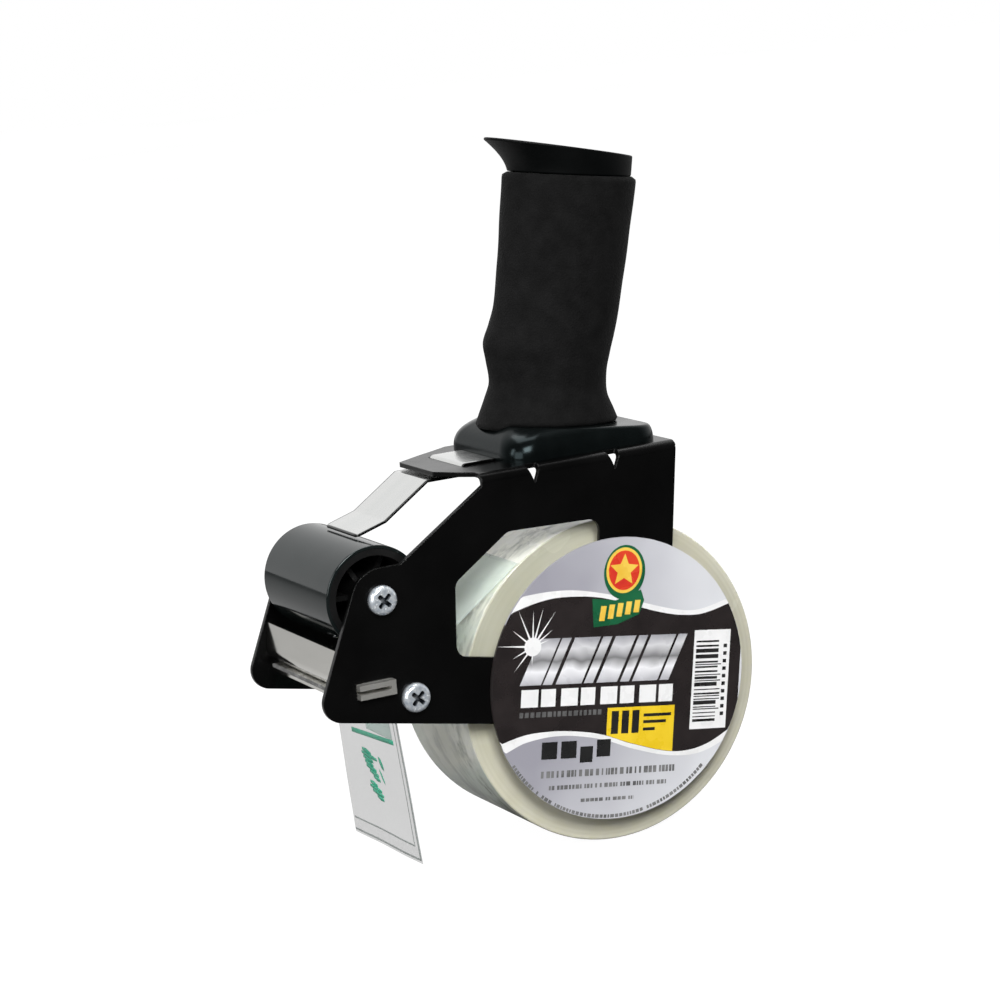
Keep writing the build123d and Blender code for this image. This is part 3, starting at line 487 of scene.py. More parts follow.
# ---- spring finger: one strip of spring steel ---------------------------------------------------
LEAF, SHEET = 0.8, 1.5  # thickness of the finger and of the frame
FINGER_DROP, FINGER_GAP = 0.9, 0.3  # clearance under the top plate and over the roller
UNDER_Z = TOP_Z - SHEET - FINGER_DROP
SLOT_X = -40.5  # where the finger goes down through the top plate
TONGUE_FRONT_X = -51.9
FLEX_X = TONGUE_FRONT_X - 0.6
FINGER_BACK_X, FINGER_HALF = -21.9, 12.1
ROLLER_Z, ROLLER_R = 41.8, 16.4
KNEE = (-69.3, 62.4)
TIP_X, TIP_Z = -79.7, ROLLER_Z + ROLLER_R + FINGER_GAP + LEAF


def rounded_path(corners, radius, step=radians(9)):
    """Points along a polyline whose inner corners are arcs."""
    points = [Vector(corners[0])]
    for before, corner, after in zip(corners, corners[1:], corners[2:]):
        corner = Vector(corner)
        a = (Vector(before) - corner).normalized()
        b = (Vector(after) - corner).normalized()
        turn = pi - a.angle(b)
        setback = radius * sin(turn / 2) / cos(turn / 2)
        centre = corner + (a + b).normalized() * (radius / cos(turn / 2))
        start = corner + a * setback - centre
        sweep = turn if a.x * b.y - a.y * b.x < 0 else -turn
        steps = max(2, int(turn / step))
        for i in range(steps + 1):
            angle = sweep * i / steps
            points.append(centre + Vector((start.x * cos(angle) - start.y * sin(angle),
                                           start.x * sin(angle) + start.y * cos(angle))))
    points.append(Vector(corners[-1]))
    return points


def refine(points, longest):
    """The same path with long runs cut into shorter ones."""
    result = [points[0]]
    for a, b in zip(points, points[1:]):
        parts = max(1, int((b - a).length / longest + 0.999))
        result += [a.lerp(b, i / parts) for i in range(1, parts + 1)]
    return result


def strip(bm, path, thickness, half_at, y_mid=0.0, columns=8):
    """Sheet of some thickness along an XZ path (mm); half_at gives its half width at a share of the path."""
    sides = []
    for k, offset in enumerate((thickness / 2, -thickness / 2)):
        rows = []
        for i, point in enumerate(path):
            ahead = path[min(i + 1, len(path) - 1)] - path[max(i - 1, 0)]
            normal = Vector((-ahead.y, ahead.x)).normalized()
            spot = point + normal * offset
            half = half_at(i / (len(path) - 1))
            rows.append([
                bm.verts.new(Vector((spot.x, y_mid + half * (2 * c / columns - 1), spot.y)) * MM)
                for c in range(columns + 1)
            ])
        sides.append(rows)
    upper, lower = sides
    for i in range(len(path) - 1):
        for c in range(columns):
            bm.faces.new((upper[i][c], upper[i + 1][c], upper[i + 1][c + 1], upper[i][c + 1]))
            bm.faces.new((lower[i][c], lower[i][c + 1], lower[i + 1][c + 1], lower[i + 1][c]))
        for c in (0, columns):
            bm.faces.new((upper[i][c], lower[i][c], lower[i + 1][c], upper[i + 1][c]))
    for i in (0, len(path) - 1):
        for c in range(columns):
            bm.faces.new((upper[i][c], upper[i][c + 1], lower[i][c + 1], lower[i][c]))


def finger_mesh(bm):
    """The strip: on top of the plate, down through its slot, under the tongue and out over the roller."""
    mid = LEAF / 2
    tip_run, tip_corner = 60.0, 1.2
    corners = [
        (FINGER_BACK_X, TOP_Z + mid),
        (SLOT_X - mid, TOP_Z + mid),
        (SLOT_X - mid, UNDER_Z - mid),
        (FLEX_X - 1.2, UNDER_Z - mid),
        (KNEE[0], KNEE[1] - mid),
        (TIP_X, TIP_Z - mid),
    ]
    path = refine(rounded_path(corners, 0.85), 1.5)

    def half(share):
        rest = (1 - share) * tip_run
        if rest >= tip_corner:
            return FINGER_HALF
        return FINGER_HALF - (tip_corner - sqrt(max(tip_corner**2 - (tip_corner - rest) ** 2, 0)))

    strip(bm, path, LEAF, half, columns=12)


finger = piece("spring_finger", finger_mesh, strip_steel, body=None)
crease = finger.modifiers.new("edges", "BEVEL")
crease.width, crease.segments, crease.limit_method = 0.15 * MM, 2, "ANGLE"
# painted shade along the finger's long edges and its tip
paint_edge_shade(strip_steel, FINGER_HALF, 0.85, TIP_X)
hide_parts("finger_root", "finger_leaf")
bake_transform(finger)

# ---- brake spring, built at rest; the tension knob shortens it by driving the pressure washer in ---
SPRING_FROM, SPRING_TO = 7.8, 18.3  # along the hub's axis, at rest
COIL_R, WIRE_R, COIL_TURNS = 8.0, 0.76, 4
COIL_GAP = 0.04  # clearance at each end


def coil_mesh(bm):
    """Round wire wound about the hub's axis."""
    steps, sides = 48 * COIL_TURNS, 12
    first, last = SPRING_FROM + WIRE_R + COIL_GAP, SPRING_TO - WIRE_R - COIL_GAP
    rise = (last - first) / (2 * pi * COIL_TURNS)
    rings = []
    for i in range(steps + 1):
        turn = 2 * pi * COIL_TURNS * i / steps
        out = Vector((cos(turn), 0.0, sin(turn)))
        run = Vector((-sin(turn) * COIL_R, rise, cos(turn) * COIL_R)).normalized()
        side = run.cross(out)
        centre = out * COIL_R + Vector((0.0, first + rise * turn, 0.0))
        rings.append([
            bm.verts.new((centre + (out * cos(a) + side * sin(a)) * WIRE_R) * MM)
            for a in (2 * pi * k / sides for k in range(sides))
        ])
    for a, b in zip(rings, rings[1:]):
        for k in range(sides):
            bm.faces.new((a[k - 1], a[k], b[k], b[k - 1]))
    bm.faces.new(rings[0])
    bm.faces.new(rings[-1])


coil = piece("spring_coil", coil_mesh, blade_steel)
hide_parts("brake_spring")
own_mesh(coil)

# ---- free film: from the roll, round the rod, down to the tail ----------------------------------
ROLL_MID_Y, TAPE_HALF = 0.3, 24.0
ROD = Vector((-72.6, 9.3))  # the guide rod's axis in X and Z
OFF_ROLL, ROUND_ROD = 52.9 + 0.3 + 0.15, 4.0 + 0.1 + 0.15  # radii of the film's run on the roll and the rod
TAIL_FOOT = Vector((-73.6, -46.4))  # the film's lower end in X and Z
LEAVE_ROD, BEND_RUN = 172.0, 9.0  # where it leaves the rod, in degrees, and the length of its bend
ROD_STEPS, BEND_STEPS = 6, 8
FILM = 0.12
WEB_FROM, WEB_TO = -0.071, -0.066  # the X, in metres, where the tail's look gives way to the web's
TAIL_ALPHA, WEB_ALPHA = 0.27, 0.30


def on_circle(centre, radius, angle):
    return centre + Vector((cos(angle), sin(angle))) * radius


def film_path():
    """The film in X and Z: from the roll to the rod, part of a turn round it, a bend, then straight."""
    reach = ROD.length
    n = atan2(ROD.y, ROD.x) - acos((OFF_ROLL - ROUND_ROD) / reach)
    leave = radians(LEAVE_ROD)
    points = [on_circle(Vector((0, 0)), OFF_ROLL, n)]
    points += [on_circle(ROD, ROUND_ROD, n + (leave - n) * i / ROD_STEPS) for i in range(ROD_STEPS + 1)]
    start = points[-1]

    def bend(total):
        """Points of a bend of BEND_RUN mm that turns through some angle, and the heading after it."""
        radius = BEND_RUN / total
        centre = on_circle(start, radius, leave + pi)
        spots = [on_circle(centre, radius, leave + total * i / BEND_STEPS) for i in range(1, BEND_STEPS + 1)]
        return spots, Vector((-sin(leave + total), cos(leave + total)))

    low, high = 0.001, 0.6
    for _ in range(30):
        middle = (low + high) / 2
        spots, heading = bend(middle)
        at_foot = spots[-1].x + heading.x * (TAIL_FOOT.y - spots[-1].y) / heading.y
        low, high = (middle, high) if at_foot < TAIL_FOOT.x else (low, middle)
    return points + spots + [TAIL_FOOT]


def drift(x, y, z):
    """How far the loose end leans out of its plane at a point, in metres: a slight twist and ripple."""
    fall = min(max((5.0 * MM - z) / (50 * MM), 0.0), 1.0)
    return fall * (0.25 - 31.0 * y + 0.12 * sin(y * 190.0 + 0.8) + 0.10 * sin(y * 90 + z * 140)) * MM


def film_mesh(bm):
    strip(bm, refine(film_path(), 2.0), FILM, lambda share: TAPE_HALF, ROLL_MID_Y, columns=24)
    for v in bm.verts:
        if v.co.x < ROD.x * MM:
            v.co.x += drift(*v.co)


def film_material(name, low, high, alpha):
    return finish(name, low, high, (0.20, 0.32), grain=55.0, bump=0.05, bump_grain=220.0, depth=0.0003,
                  Alpha=alpha, Specular_IOR_Level=0.05)


def tinted_web(material):
    """The taut run inside the frame lies over the roll and looks paler and greener than the loose end."""
    tree = material.node_tree
    on_web = spread(tree, coordinate(tree, "X"), 0.0, 1.0, WEB_FROM, WEB_TO)
    feed(material, "Base Color", mix(tree, on_web, base_colour(material), (0.84, 0.95, 0.89)))
    feed(material, "Alpha", spread(tree, on_web, TAIL_ALPHA, WEB_ALPHA, 0.0, 1.0))


clear_film = film_material("clear_film", grey(0.12), grey(0.17), TAIL_ALPHA)
tinted_web(clear_film)
film = piece("film_web_and_tail", film_mesh, clear_film)
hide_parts("tape_strip")


def tail_point(drop, y, lift):
    """Point on the tail, drop mm along it from the rod, lift mm in front of the film."""
    path = film_path()
    total = 0.0
    for a, b in zip(path[ROD_STEPS + 1:], path[ROD_STEPS + 2:]):
        run = (b - a).length
        if total + run >= drop:
            break
        total += run
    t = min((drop - total) / run, 1.0)
    spot = a.lerp(b, t)
    normal = Vector((-(b - a).y, (b - a).x)).normalized()
    spot -= normal * lift
    v = Vector((spot.x, y, spot.y)) * MM
    v.x += drift(*v)
    return v


def patch(bm, drops, sides, lift, thickness):
    """Thin closed patch that follows the tail between two drops and two edges, in a grid."""
    rows = max(2, int((drops[1] - drops[0]) / 1.5))
    columns = max(2, int((sides[1] - sides[0]) / 2.0))
    grid = []
    for layer in (lift, lift + thickness):
        grid.append([
            [
                bm.verts.new(tail_point(drops[0] + (drops[1] - drops[0]) * r / rows,
                                        sides[0] + (sides[1] - sides[0]) * c / columns, layer))
                for c in range(columns + 1)
            ]
            for r in range(rows + 1)
        ])
    back, front = grid
    for r in range(rows):
        for c in range(columns):
            bm.faces.new((back[r][c], back[r][c + 1], back[r + 1][c + 1], back[r + 1][c]))
            bm.faces.new((front[r][c], front[r + 1][c], front[r + 1][c + 1], front[r][c + 1]))
        for c in (0, columns):
            bm.faces.new((back[r][c], back[r + 1][c], front[r + 1][c], front[r][c]))
    for c in range(columns):
        for r in (0, rows):
            bm.faces.new((back[r][c], front[r][c], front[r][c + 1], back[r][c + 1]))


FOLD_DROP, FOOT_DROP = 51.0, 55.6  # down the tail, where its folded foot starts and ends
NEAR_SIDE, FAR_SIDE = -23.6, 24.2  # the tail's edges in Y
GLINT_LIFT, GLINT_THICKNESS = 0.10, 0.04
GLINTS = [  # drops and sides: along the edge, inside it, at the fold and at the foot
    ((0.0, FOOT_DROP), (NEAR_SIDE, -22.4)),
    ((0.0, 50.6), (-20.6, -20.1)),
    ((50.7, 51.3), (-20.6, 23.2)),
    ((54.9, FOOT_DROP), (-22.6, FAR_SIDE)),
]


def hem_mesh(bm):
    patch(bm, (FOLD_DROP, FOOT_DROP), (NEAR_SIDE, FAR_SIDE), 0.15, 0.12)


def edge_mesh(bm):
    """Glints along the film's edge and where its foot is folded."""
    for drops, sides in GLINTS:
        patch(bm, drops, sides, GLINT_LIFT, GLINT_THICKNESS)


folded_film = film_material("folded_film", grey(0.20), grey(0.26), 0.03)
piece("tail_hem", hem_mesh, folded_film)
edge_film = film_material("edge_film", (0.06, 0.10, 0.09), (0.10, 0.15, 0.13), 0.36)
piece("tail_edge", edge_mesh, edge_film)

INK_LIFT, INK = 0.10, 0.03  # of the strokes on the tail
LEAF_STROKES = [  # drop, side and half the reach to the side
    (24.6, 5.0, 3.2), (25.9, 3.4, 5.6), (27.2, 4.6, 3.6), (28.6, 4.4, 3.0), (30.0, 3.2, 3.6),
    (31.5, 1.6, 3.2), (33.0, 0.2, 2.4), (35.4, 3.4, 2.6), (36.8, 2.4, 4.2), (38.2, 1.2, 4.0),
    (39.6, 0.0, 2.4),
]


def stroke(bm, start, end, wide, taper):
    """Tapering stroke on the tail between two (drop, side) points, wide across the drop."""
    steps = 8
    outer = INK_LIFT + INK
    rows = []
    for k in range(steps + 1):
        share = k / steps
        drop, side = (start[i] + (end[i] - start[i]) * share for i in (0, 1))
        half = wide / 2 * (1 - taper * abs(2 * share - 1))
        corners = ((-half, INK_LIFT), (half, INK_LIFT), (half, outer), (-half, outer))
        rows.append([bm.verts.new(tail_point(drop + over, side, level)) for over, level in corners])
    for a, b in zip(rows, rows[1:]):
        for i in range(4):
            bm.faces.new((a[i], a[i - 1], b[i - 1], b[i]))
    bm.faces.new(rows[0])
    bm.faces.new(rows[-1])


def print_mesh(bm):
    """A band across the tail, and a plain leaf and its shadow made of short strokes."""
    stroke(bm, (19.0, 14.2), (17.1, -18.0), 1.7, 0.0)
    for drop, side, half_side in LEAF_STROKES:
        stroke(bm, (drop - 0.4, side + half_side), (drop + 0.4, side - half_side), 1.9, 0.5)
    stroke(bm, (25.4, -3.6), (28.2, -6.6), 3.4, 0.5)
    stroke(bm, (29.4, -2.8), (33.4, -5.6), 2.2, 0.5)


def wash_mesh(bm):
    patch(bm, (9.0, 16.4), (-17.6, 2.0), 0.09, 0.02)


green_ink = finish("green_ink", (0.005, 0.42, 0.24), (0.015, 0.52, 0.31), (0.35, 0.5), grain=300.0, bump=0.05,
                   Alpha=0.72)
piece("tail_print", print_mesh, green_ink)
green_wash = finish("green_wash", (0.16, 0.44, 0.33), (0.22, 0.52, 0.40), (0.3, 0.4), grain=200.0, bump=0.03,
                    Alpha=0.30)
piece("tail_wash", wash_mesh, green_wash)

# ---- printed label ------------------------------------------------------------------------------
LABEL_TILT = radians(-8.6)  # of the print, about the hub's axis
CARD_FACE_Y = -30.2
ART_X, ART_Z = -1.9, 1.2  # where the printed design has its origin
CARD_R = 45.9
BADGE_U, BADGE_V = 0.5, 35.8  # the badge's centre in the design
SPARK_U, SPARK_V = -31.1, 12.0  # the spark's centre in the design
SPARK_RAYS = [  # direction in degrees, and length
    (116, 13.0), (92, 11.5), (76, 12.5), (56, 13.5), (38, 8.5), (144, 9.5), (178, 12.5), (208, 8.0),
    (232, 10.0), (270, 6.0), (20, 6.0),
]
HEADLINE = [  # where each slanted bar starts, and its width
    (-34.6, 6.6), (-26.4, 2.4), (-21.8, 8.4), (-11.6, 2.4), (-7.0, 6.6), (1.6, 2.4), (6.0, 8.4), (16.2, 2.4),
]
HEADLINE_RISE = 14.4  # over which the chrome's shades run
CHROME_SHADES = [(0.28, 0.86), (0.50, 0.20), (0.58, 0.34), (0.80, 0.66)]  # height and grey
RIM_OUTER, RIM_INNER = 44.9, 43.8  # the line of small print round the card
CARD_U, CARD_V = 0.72, 0.61  # the card's centre in the design
LAYER = 0.02


def label_point(u, v, lift):
    """Label coordinates, turned with the print, to the frame."""
    c, s = cos(LABEL_TILT), sin(LABEL_TILT)
    return Vector((ART_X + u * c - v * s, CARD_FACE_Y - lift, ART_Z + u * s + v * c)) * MM


def sheet_of_ink(bm, outline, level):
    """Closed prism over a simple outline in label coordinates."""
    low = [bm.verts.new(label_point(u, v, level * LAYER)) for u, v in outline]
    high = [bm.verts.new(label_point(u, v, level * LAYER + LAYER)) for u, v in outline]
    bm.faces.new(low)
    bm.faces.new(high)
    for i in range(len(outline)):
        j = (i + 1) % len(outline)
        bm.faces.new((low[i], low[j], high[j], high[i]))


def box_of_ink(bm, u0, u1, v0, v1, level, slant=0.0):
    """A block of ink, upright or leaning to the right."""
    shift = slant * (v1 - v0)
    sheet_of_ink(bm, [(u0, v0), (u1, v0), (u1 + shift, v1), (u0 + shift, v1)], level)


def band(upper, lower, inset, step=0.8):
    """Outline of the card's part between two curves, held back from its edge."""
    radius = CARD_R - inset
    top, bottom = [], []
    count = int(2 * radius / step)
    for i in range(count + 1):
        u = CARD_U + radius * (2 * i / count - 1)
        rim = sqrt(max(radius**2 - (u - CARD_U) ** 2, 0.0))
        high, low = min(upper(u), CARD_V + rim), max(lower(u), CARD_V - rim)
        if high - low > 0.05:
            top.append((u, high))
            bottom.append((u, low))
    return top + bottom[::-1]


def oval(cu, cv, ru, rv, count=48):
    turns = [2 * pi * i / count for i in range(count)]
    return [(cu + ru * cos(turn), cv + rv * sin(turn)) for turn in turns]


white_top = smooth_curve([(-48, 24.5), (-37, 27.9), (-20, 29.8), (-5, 28.2), (7, 25.4), (22.7, 22.3),
                          (31, 22.8), (48, 29.0)])
dark_top = smooth_curve([(-48, 18.0), (-40, 22.6), (-27, 26.9), (-16, 27.7), (-5.7, 26.8), (13.6, 22.1),
                         (23, 20.7), (32, 21.3), (48, 27.2)])
dark_foot = smooth_curve([(-48, -21.6), (-33.5, -16.7), (-24, -15.6), (-14.5, -15.9), (-4.8, -17.3),
                          (6.8, -20.9), (22.8, -24.2), (34.6, -22.3), (48, -14.4)])
white_foot = smooth_curve([(-48, -26.5), (-39, -22.1), (-31.5, -18.8), (-19, -17.2), (-4.3, -19.0),
                           (8, -22.8), (22.8, -25.6), (34, -24.6), (48, -17.6)])


def label_ink(name, low, high, mesh_maker):
    """A printed layer of the label in one glossy colour."""
    material = finish("ink_" + name, low, high, (0.22, 0.34), grain=120.0, bump=0.04, bump_grain=700.0,
                      Coat_Weight=0.5, Coat_Roughness=0.15)
    piece("label_" + name, mesh_maker, material, smooth=False)


def white_layer(bm):
    sheet_of_ink(bm, band(white_top, white_foot, 0.1), 0)


def dark_layer(bm):
    sheet_of_ink(bm, band(dark_top, dark_foot, 0.05), 1)


def headline(bm):
    """Slanted chromed bars across the dark band."""
    for u, width in HEADLINE:
        box_of_ink(bm, u - 0.45, u + width + 0.45, -0.4, 14.5, 2, slant=0.42)
        box_of_ink(bm, u, u + width, -0.1, 14.2, 3, slant=0.42)


def chrome_ink():
    """Silver ink shaded like bent chrome: light, dark at a horizon, then light again."""
    material = finish("ink_chrome", grey(0.5), grey(0.6), (0.22, 0.34), grain=120.0, bump=0.04,
                      Coat_Weight=0.5, Coat_Roughness=0.15)
    tree = material.node_tree
    place = position(tree)
    rise = reach_along(tree, place, (-sin(LABEL_TILT), 0, cos(LABEL_TILT)))
    foot = (ART_Z * cos(LABEL_TILT) - ART_X * sin(LABEL_TILT)) * MM
    height = spread(tree, rise, 0.0, 1.0, foot, foot + HEADLINE_RISE * MM)
    soft = spread(tree, noise(tree, place, 160.0, 1.0), -0.05, 0.05)
    shine = add(tree, "ShaderNodeValToRGB", {"Fac": combine(tree, "ADD", height, soft)})
    stops = shine.color_ramp.elements
    stops[0].position, stops[0].color = 0.0, (0.50, 0.50, 0.53, 1)
    stops[1].position, stops[1].color = 1.0, (0.34, 0.34, 0.37, 1)
    for level, value in CHROME_SHADES:
        stop = stops.new(level)
        stop.color = (value, value, value * 1.03, 1)
    feed(material, "Base Color", shine.outputs["Color"])
    return material


def white_marks(bm):
    """A row of plain blocks, a spark, and the panel under the bars."""
    for k in range(8):
        u = -34.3 + k * 7.15
        box_of_ink(bm, u, u + (6.1, 5.2)[k % 2], -7.5, -1.8, 2)
    for heading, length in SPARK_RAYS:
        a = radians(heading)
        side = Vector((-sin(a), cos(a))) * 0.42
        sheet_of_ink(bm, [(SPARK_U + side.x, SPARK_V + side.y), (SPARK_U - side.x, SPARK_V - side.y),
                          (SPARK_U + cos(a) * length, SPARK_V + sin(a) * length)], 4)
    sheet_of_ink(bm, oval(SPARK_U, SPARK_V, 3.0, 3.0), 5)
    box_of_ink(bm, 28.0, 41.6, -17.2, 15.5, 2)


def black_marks(bm):
    """Bars of random width, and plain blocks on the yellow panel and the silver foot."""
    dice = random.Random(7)
    v = -14.8
    while v < 12.6:
        thick = dice.choice((0.35, 0.6, 0.9, 1.3))
        box_of_ink(bm, 28.9, 37.4 + dice.choice((0.0, 0.0, 1.2)), v, min(v + thick, 13.0), 3)
        v += thick + dice.choice((0.35, 0.6, 0.9))
    v = -13.0
    while v < 11.0:
        box_of_ink(bm, 39.2, 40.5, v, v + 1.2, 3)
        v += 2.5
    # blocks on the yellow panel
    for u in (-1.2, 2.6, 6.4):
        sheet_of_ink(bm, [(u, -17.4), (u + 2.6, -17.4), (u + 2.6, -9.9), (u, -9.9)], 4)
    for v, u1 in ((-11.2, 20.8), (-13.4, 19.0), (-15.8, 15.0)):
        box_of_ink(bm, 10.6, u1, v - 1.0, v, 4)
    # bold blocks on the silver foot
    for u, width, v0, v1 in ((-26.0, 5.6, -24.6, -19.0), (-19.0, 5.6, -24.6, -19.0),
                             (-12.0, 4.6, -26.2, -21.0), (-6.0, 5.0, -24.6, -19.0)):
        box_of_ink(bm, u, u + width, v0, v1, 2)


def small_print(bm):
    """Rows of short strokes, and one row round the card's lower edge."""
    dice = random.Random(11)

    def line(u0, u1, v, height):
        u = u0
        while u < u1:
            width = dice.uniform(0.5, 1.5)
            box_of_ink(bm, u, min(u + width, u1), v - height / 2, v + height / 2, 1)
            u += width + dice.choice((0.3, 0.4, 1.0))

    line(-25.8, 23.2, -29.6, 2.2)
    line(-22.7, 20.4, -34.0, 1.4)
    line(-10.9, 8.5, -38.6, 1.1)
    a = radians(216)
    while a < radians(322):
        step = radians(dice.uniform(0.7, 1.8))
        if dice.random() > 0.15:
            corners = ((RIM_OUTER, a), (RIM_OUTER, a + step), (RIM_INNER, a + step), (RIM_INNER, a))
            sheet_of_ink(bm, [(radius * cos(turn), radius * sin(turn)) for radius, turn in corners], 1)
        a += step + radians(0.5)


def grey_line(bm):
    dice = random.Random(5)
    u = -34.6
    while u < -4.8:
        width = dice.uniform(0.8, 1.6)
        box_of_ink(bm, u, u + width, -10.8, -9.1, 2)
        u += width + 0.6


def yellow_panel(bm):
    outline = [(-2.8, -8.8), (-2.8, dark_foot(-2.8) + 0.1)]
    outline += [(u, dark_foot(u) + 0.1) for u in (1.0, 4.0, 7.0, 10.0, 13.0, 16.0, 19.0, 22.0)]
    outline += [(22.0, -8.8)]
    sheet_of_ink(bm, outline, 3)


def red_badge(bm):
    sheet_of_ink(bm, oval(BADGE_U, BADGE_V, 5.6, 6.4), 6)


def gold_badge(bm):
    """A disc with a plain star, and a row of slanted strokes on the ribbon."""
    sheet_of_ink(bm, oval(BADGE_U, BADGE_V, 6.5, 7.4), 5)
    star = []
    for k in range(10):
        reach, a = (5.4 if k % 2 == 0 else 2.5), radians(90 + 36 * k)
        star.append((BADGE_U + reach * cos(a), BADGE_V + reach * sin(a)))
    for k in range(5):
        tip, left, right = star[2 * k], star[2 * k - 1], star[(2 * k + 1) % 10]
        sheet_of_ink(bm, [tip, left, (BADGE_U, BADGE_V), right], 7)
    for k in range(5):
        u = -7.8 + k * 3.1
        box_of_ink(bm, u, u + 2.0, 19.6 + k * 0.62, 24.4 + k * 0.42, 7, slant=0.12)


def green_badge(bm):
    sheet_of_ink(bm, oval(0.7, 35.2, 7.5, 8.8), 4)
    sheet_of_ink(bm, [(-9.6, 17.6), (-1.0, 18.4), (6.8, 21.4), (8.4, 26.0), (7.0, 29.4), (-2.0, 26.2),
                      (-10.6, 26.8)], 6)


label_ink("white", grey(0.80), grey(0.88), white_layer)
label_ink("dark", (0.013, 0.010, 0.010), (0.021, 0.016, 0.016), dark_layer)
piece("label_headline", headline, chrome_ink(), smooth=False)
label_ink("marks_white", grey(0.80), grey(0.88), white_marks)
label_ink("marks_black", grey(0.010), grey(0.018), black_marks)
label_ink("small_print", grey(0.10), grey(0.22), small_print)
label_ink("line_grey", grey(0.07), grey(0.14), grey_line)
label_ink("yellow", (0.78, 0.52, 0.01), (0.88, 0.62, 0.03), yellow_panel)
label_ink("badge_green", (0.005, 0.08, 0.03), (0.01, 0.13, 0.05), green_badge)
label_ink("badge_gold", (0.80, 0.48, 0.05), (0.88, 0.62, 0.10), gold_badge)
label_ink("badge_red", (0.60, 0.03, 0.02), (0.72, 0.06, 0.02), red_badge)


def silver_card():
    """Silver printing stock that brightens towards the upper right, with the dark band's ink on its edge."""
    material = finish("silver_card", grey(0.5), grey(0.5), (0.28, 0.40), grain=22.0, bump=0.04,
                      Coat_Weight=0.3, Coat_Roughness=0.2)
    tree = material.node_tree
    x, z = coordinate(tree, "X"), coordinate(tree, "Z")
    cloud = noise(tree, position(tree), 30.0, 2.0)
    shade = combine(tree, "ADD", spread(tree, x, 0.0, 0.80, -0.034, 0.034), spread(tree, cloud, -0.12, 0.12))
    shade = combine(tree, "ADD", shade, spread(tree, z, 0.30, 0.0, -0.042, -0.010))
    silver = ramp(tree, shade, (0.32, 0.315, 0.36), (0.70, 0.71, 0.74), 0.1, 0.9)
    at_left = spread(tree, x, 1.0, 0.0, -0.0400, -0.0395)
    over_foot = spread(tree, z, 0.0, 1.0, -0.0126, -0.0122)
    under_top = spread(tree, z, 1.0, 0.0, 0.0270, 0.0274)
    inked = combine(tree, "MULTIPLY", combine(tree, "MULTIPLY", at_left, over_foot), under_top)
    feed(material, "Base Color", mix(tree, inked, silver, (0.016, 0.013, 0.013)))
    return material


dress(silver_card(), "label_card")

# ---- floor, light and camera --------------------------------------------------------------------
FLOOR_Z = cad_box[0][2] - 0.0005
FLOOR_REACH = 4.0


def floor_mesh(bm):
    corners = ((-1, -1), (1, -1), (1, 1), (-1, 1))
    bm.faces.new([bm.verts.new((x * FLOOR_REACH, y * FLOOR_REACH, FLOOR_Z)) for x, y in corners])


def seen_or_not(tree, seen, unseen):
    """Shader that the camera sees directly as one shader, and everything else as another."""
    path = add(tree, "ShaderNodeLightPath")
    node = add(tree, "ShaderNodeMixShader", {"Fac": path.outputs["Is Camera Ray"]})
    tree.links.new(unseen, node.inputs[1])
    tree.links.new(seen, node.inputs[2])
    return node.outputs["Shader"]


def floor_material():
    """White paper that glows enough to run into the backdrop, with next to no shadow."""
    material = bpy.data.materials.new("floor")
    material.use_nodes = True
    tree = material.node_tree
    tree.nodes.remove(tree.nodes["Principled BSDF"])
    grain = noise(tree, metres(tree), 3.0)
    white = ramp(tree, grain, grey(0.985), grey(1.0))
    glow = add(tree, "ShaderNodeEmission", {"Color": white}, Strength=0.98)
    paper = add(tree, "ShaderNodeBsdfDiffuse", {"Color": ramp(tree, grain, grey(0.07), grey(0.09))})
    bright = add(tree, "ShaderNodeAddShader")
    tree.links.new(glow.outputs["Emission"], bright.inputs[0])
    tree.links.new(paper.outputs["BSDF"], bright.inputs[1])
    behind = spread(tree, coordinate(tree, "Y"), 0.0, 1.0, -0.10, 0.20)
    dull = add(tree, "ShaderNodeBsdfDiffuse", {"Color": ramp(tree, behind, grey(0.05), grey(0.36))})
    shader = seen_or_not(tree, bright.outputs["Shader"], dull.outputs["BSDF"])
    tree.links.new(shader, tree.nodes["Material Output"].inputs["Surface"])
    return material


floor = piece("floor", floor_mesh, floor_material(), body=None, smooth=False)

CAMERA_SIDE = (-0.43, -0.88, 0.19)


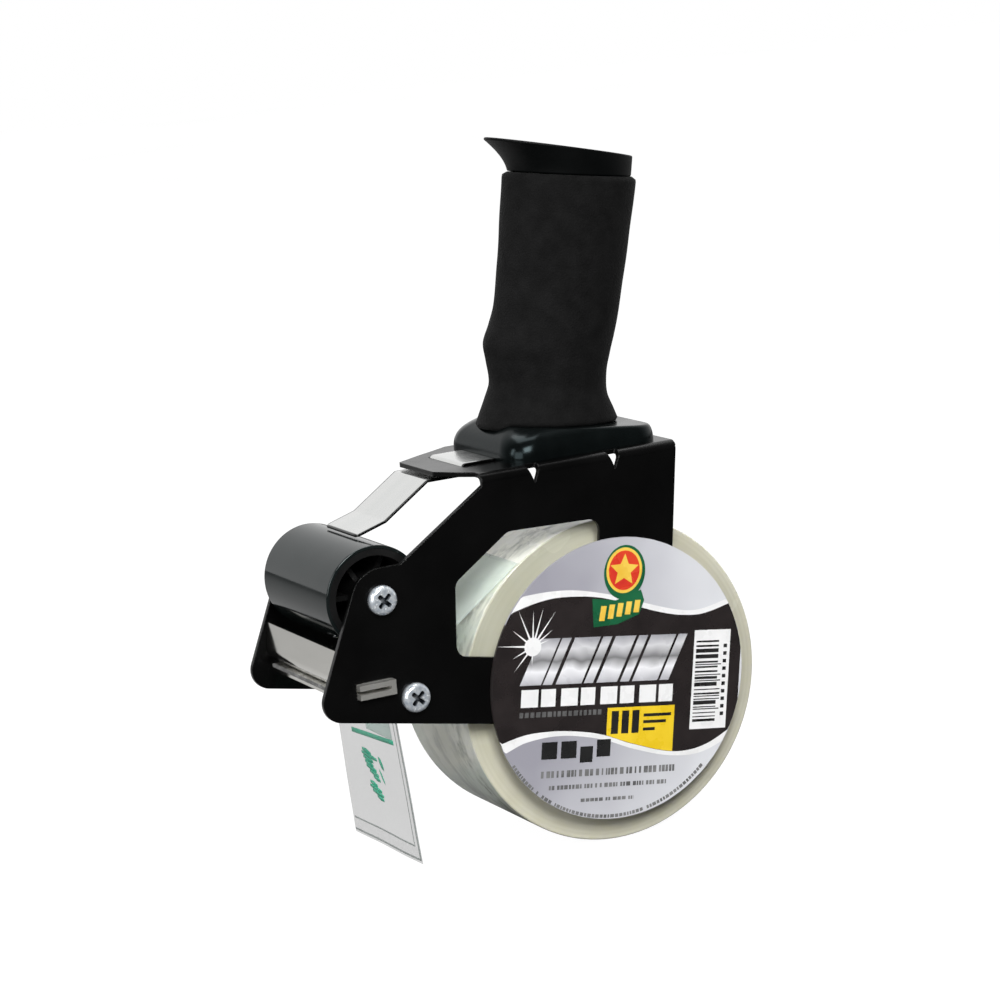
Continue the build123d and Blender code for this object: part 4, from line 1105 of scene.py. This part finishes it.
def studio_world():
    """White backdrop; the room is bright behind the object and dark on the camera's side."""
    world = bpy.data.worlds.new("studio")
    bpy.context.scene.world = world
    world.use_nodes = True
    tree = world.node_tree
    room = tree.nodes["Background"]
    direction = add(tree, "ShaderNodeTexCoord").outputs["Generated"]
    dimming = spread(tree, reach_along(tree, direction, CAMERA_SIDE), 0.0, 1.0, -0.35, 0.30)
    tree.links.new(ramp(tree, dimming, grey(1.0), grey(0.045), 0.0, 1.0), room.inputs["Color"])
    room.inputs["Strength"].default_value = 1.0
    white = add(tree, "ShaderNodeBackground", Strength=1.0)
    white.inputs["Color"].default_value = (1, 1, 1, 1)
    tree.links.new(seen_or_not(tree, white.outputs["Background"], room.outputs["Background"]),
                   tree.nodes["World Output"].inputs["Surface"])


studio_world()


def soft_light(name, place, aim, size, power):
    """Rectangular area light, in metres and watts."""
    lamp = bpy.data.lights.new(name, "AREA")
    lamp.shape = "RECTANGLE"
    lamp.size, lamp.size_y = size
    lamp.energy = power
    obj = bpy.data.objects.new(name, lamp)
    bpy.context.scene.collection.objects.link(obj)
    obj.location = place
    obj.rotation_euler = (Vector(aim) - Vector(place)).to_track_quat("-Z", "Y").to_euler()


soft_light("key", (-0.35, -1.25, 1.05), (0, 0, 0.03), (0.7, 0.7), 30.0)
soft_light("left", (-1.3, -0.25, 0.75), (0, 0, 0.05), (0.25, 0.7), 5.0)
soft_light("fill", (-0.95, -0.75, 0.38), (0, 0, 0.02), (0.70, 0.60), 7.0)
soft_light("top", (0.1, 0.25, 1.2), (0, 0, 0.05), (0.8, 0.8), 10.0)

AZIMUTH, RISE, ROLL = radians(-26.005), radians(10.889), radians(-4.944)
right = Vector((cos(AZIMUTH), sin(AZIMUTH), 0.0))
back = Vector((sin(AZIMUTH) * cos(RISE), -cos(AZIMUTH) * cos(RISE), sin(RISE)))
up = back.cross(right)
turned_right = right * cos(ROLL) + up * sin(ROLL)
turned_up = up * cos(ROLL) - right * sin(ROLL)
AIM = Vector((-0.02351, -0.00078, 0.05998))
camera_data = bpy.data.cameras.new("camera")
camera_data.sensor_width = 36.0
camera_data.lens = 111.62
camera = bpy.data.objects.new("camera", camera_data)
bpy.context.scene.collection.objects.link(camera)
axes = Matrix((turned_right, turned_up, back)).transposed()
camera.matrix_world = Matrix.Translation(AIM + back * 1.0) @ axes.to_4x4()
bpy.context.scene.camera = camera
bpy.context.scene.view_settings.view_transform = "Standard"
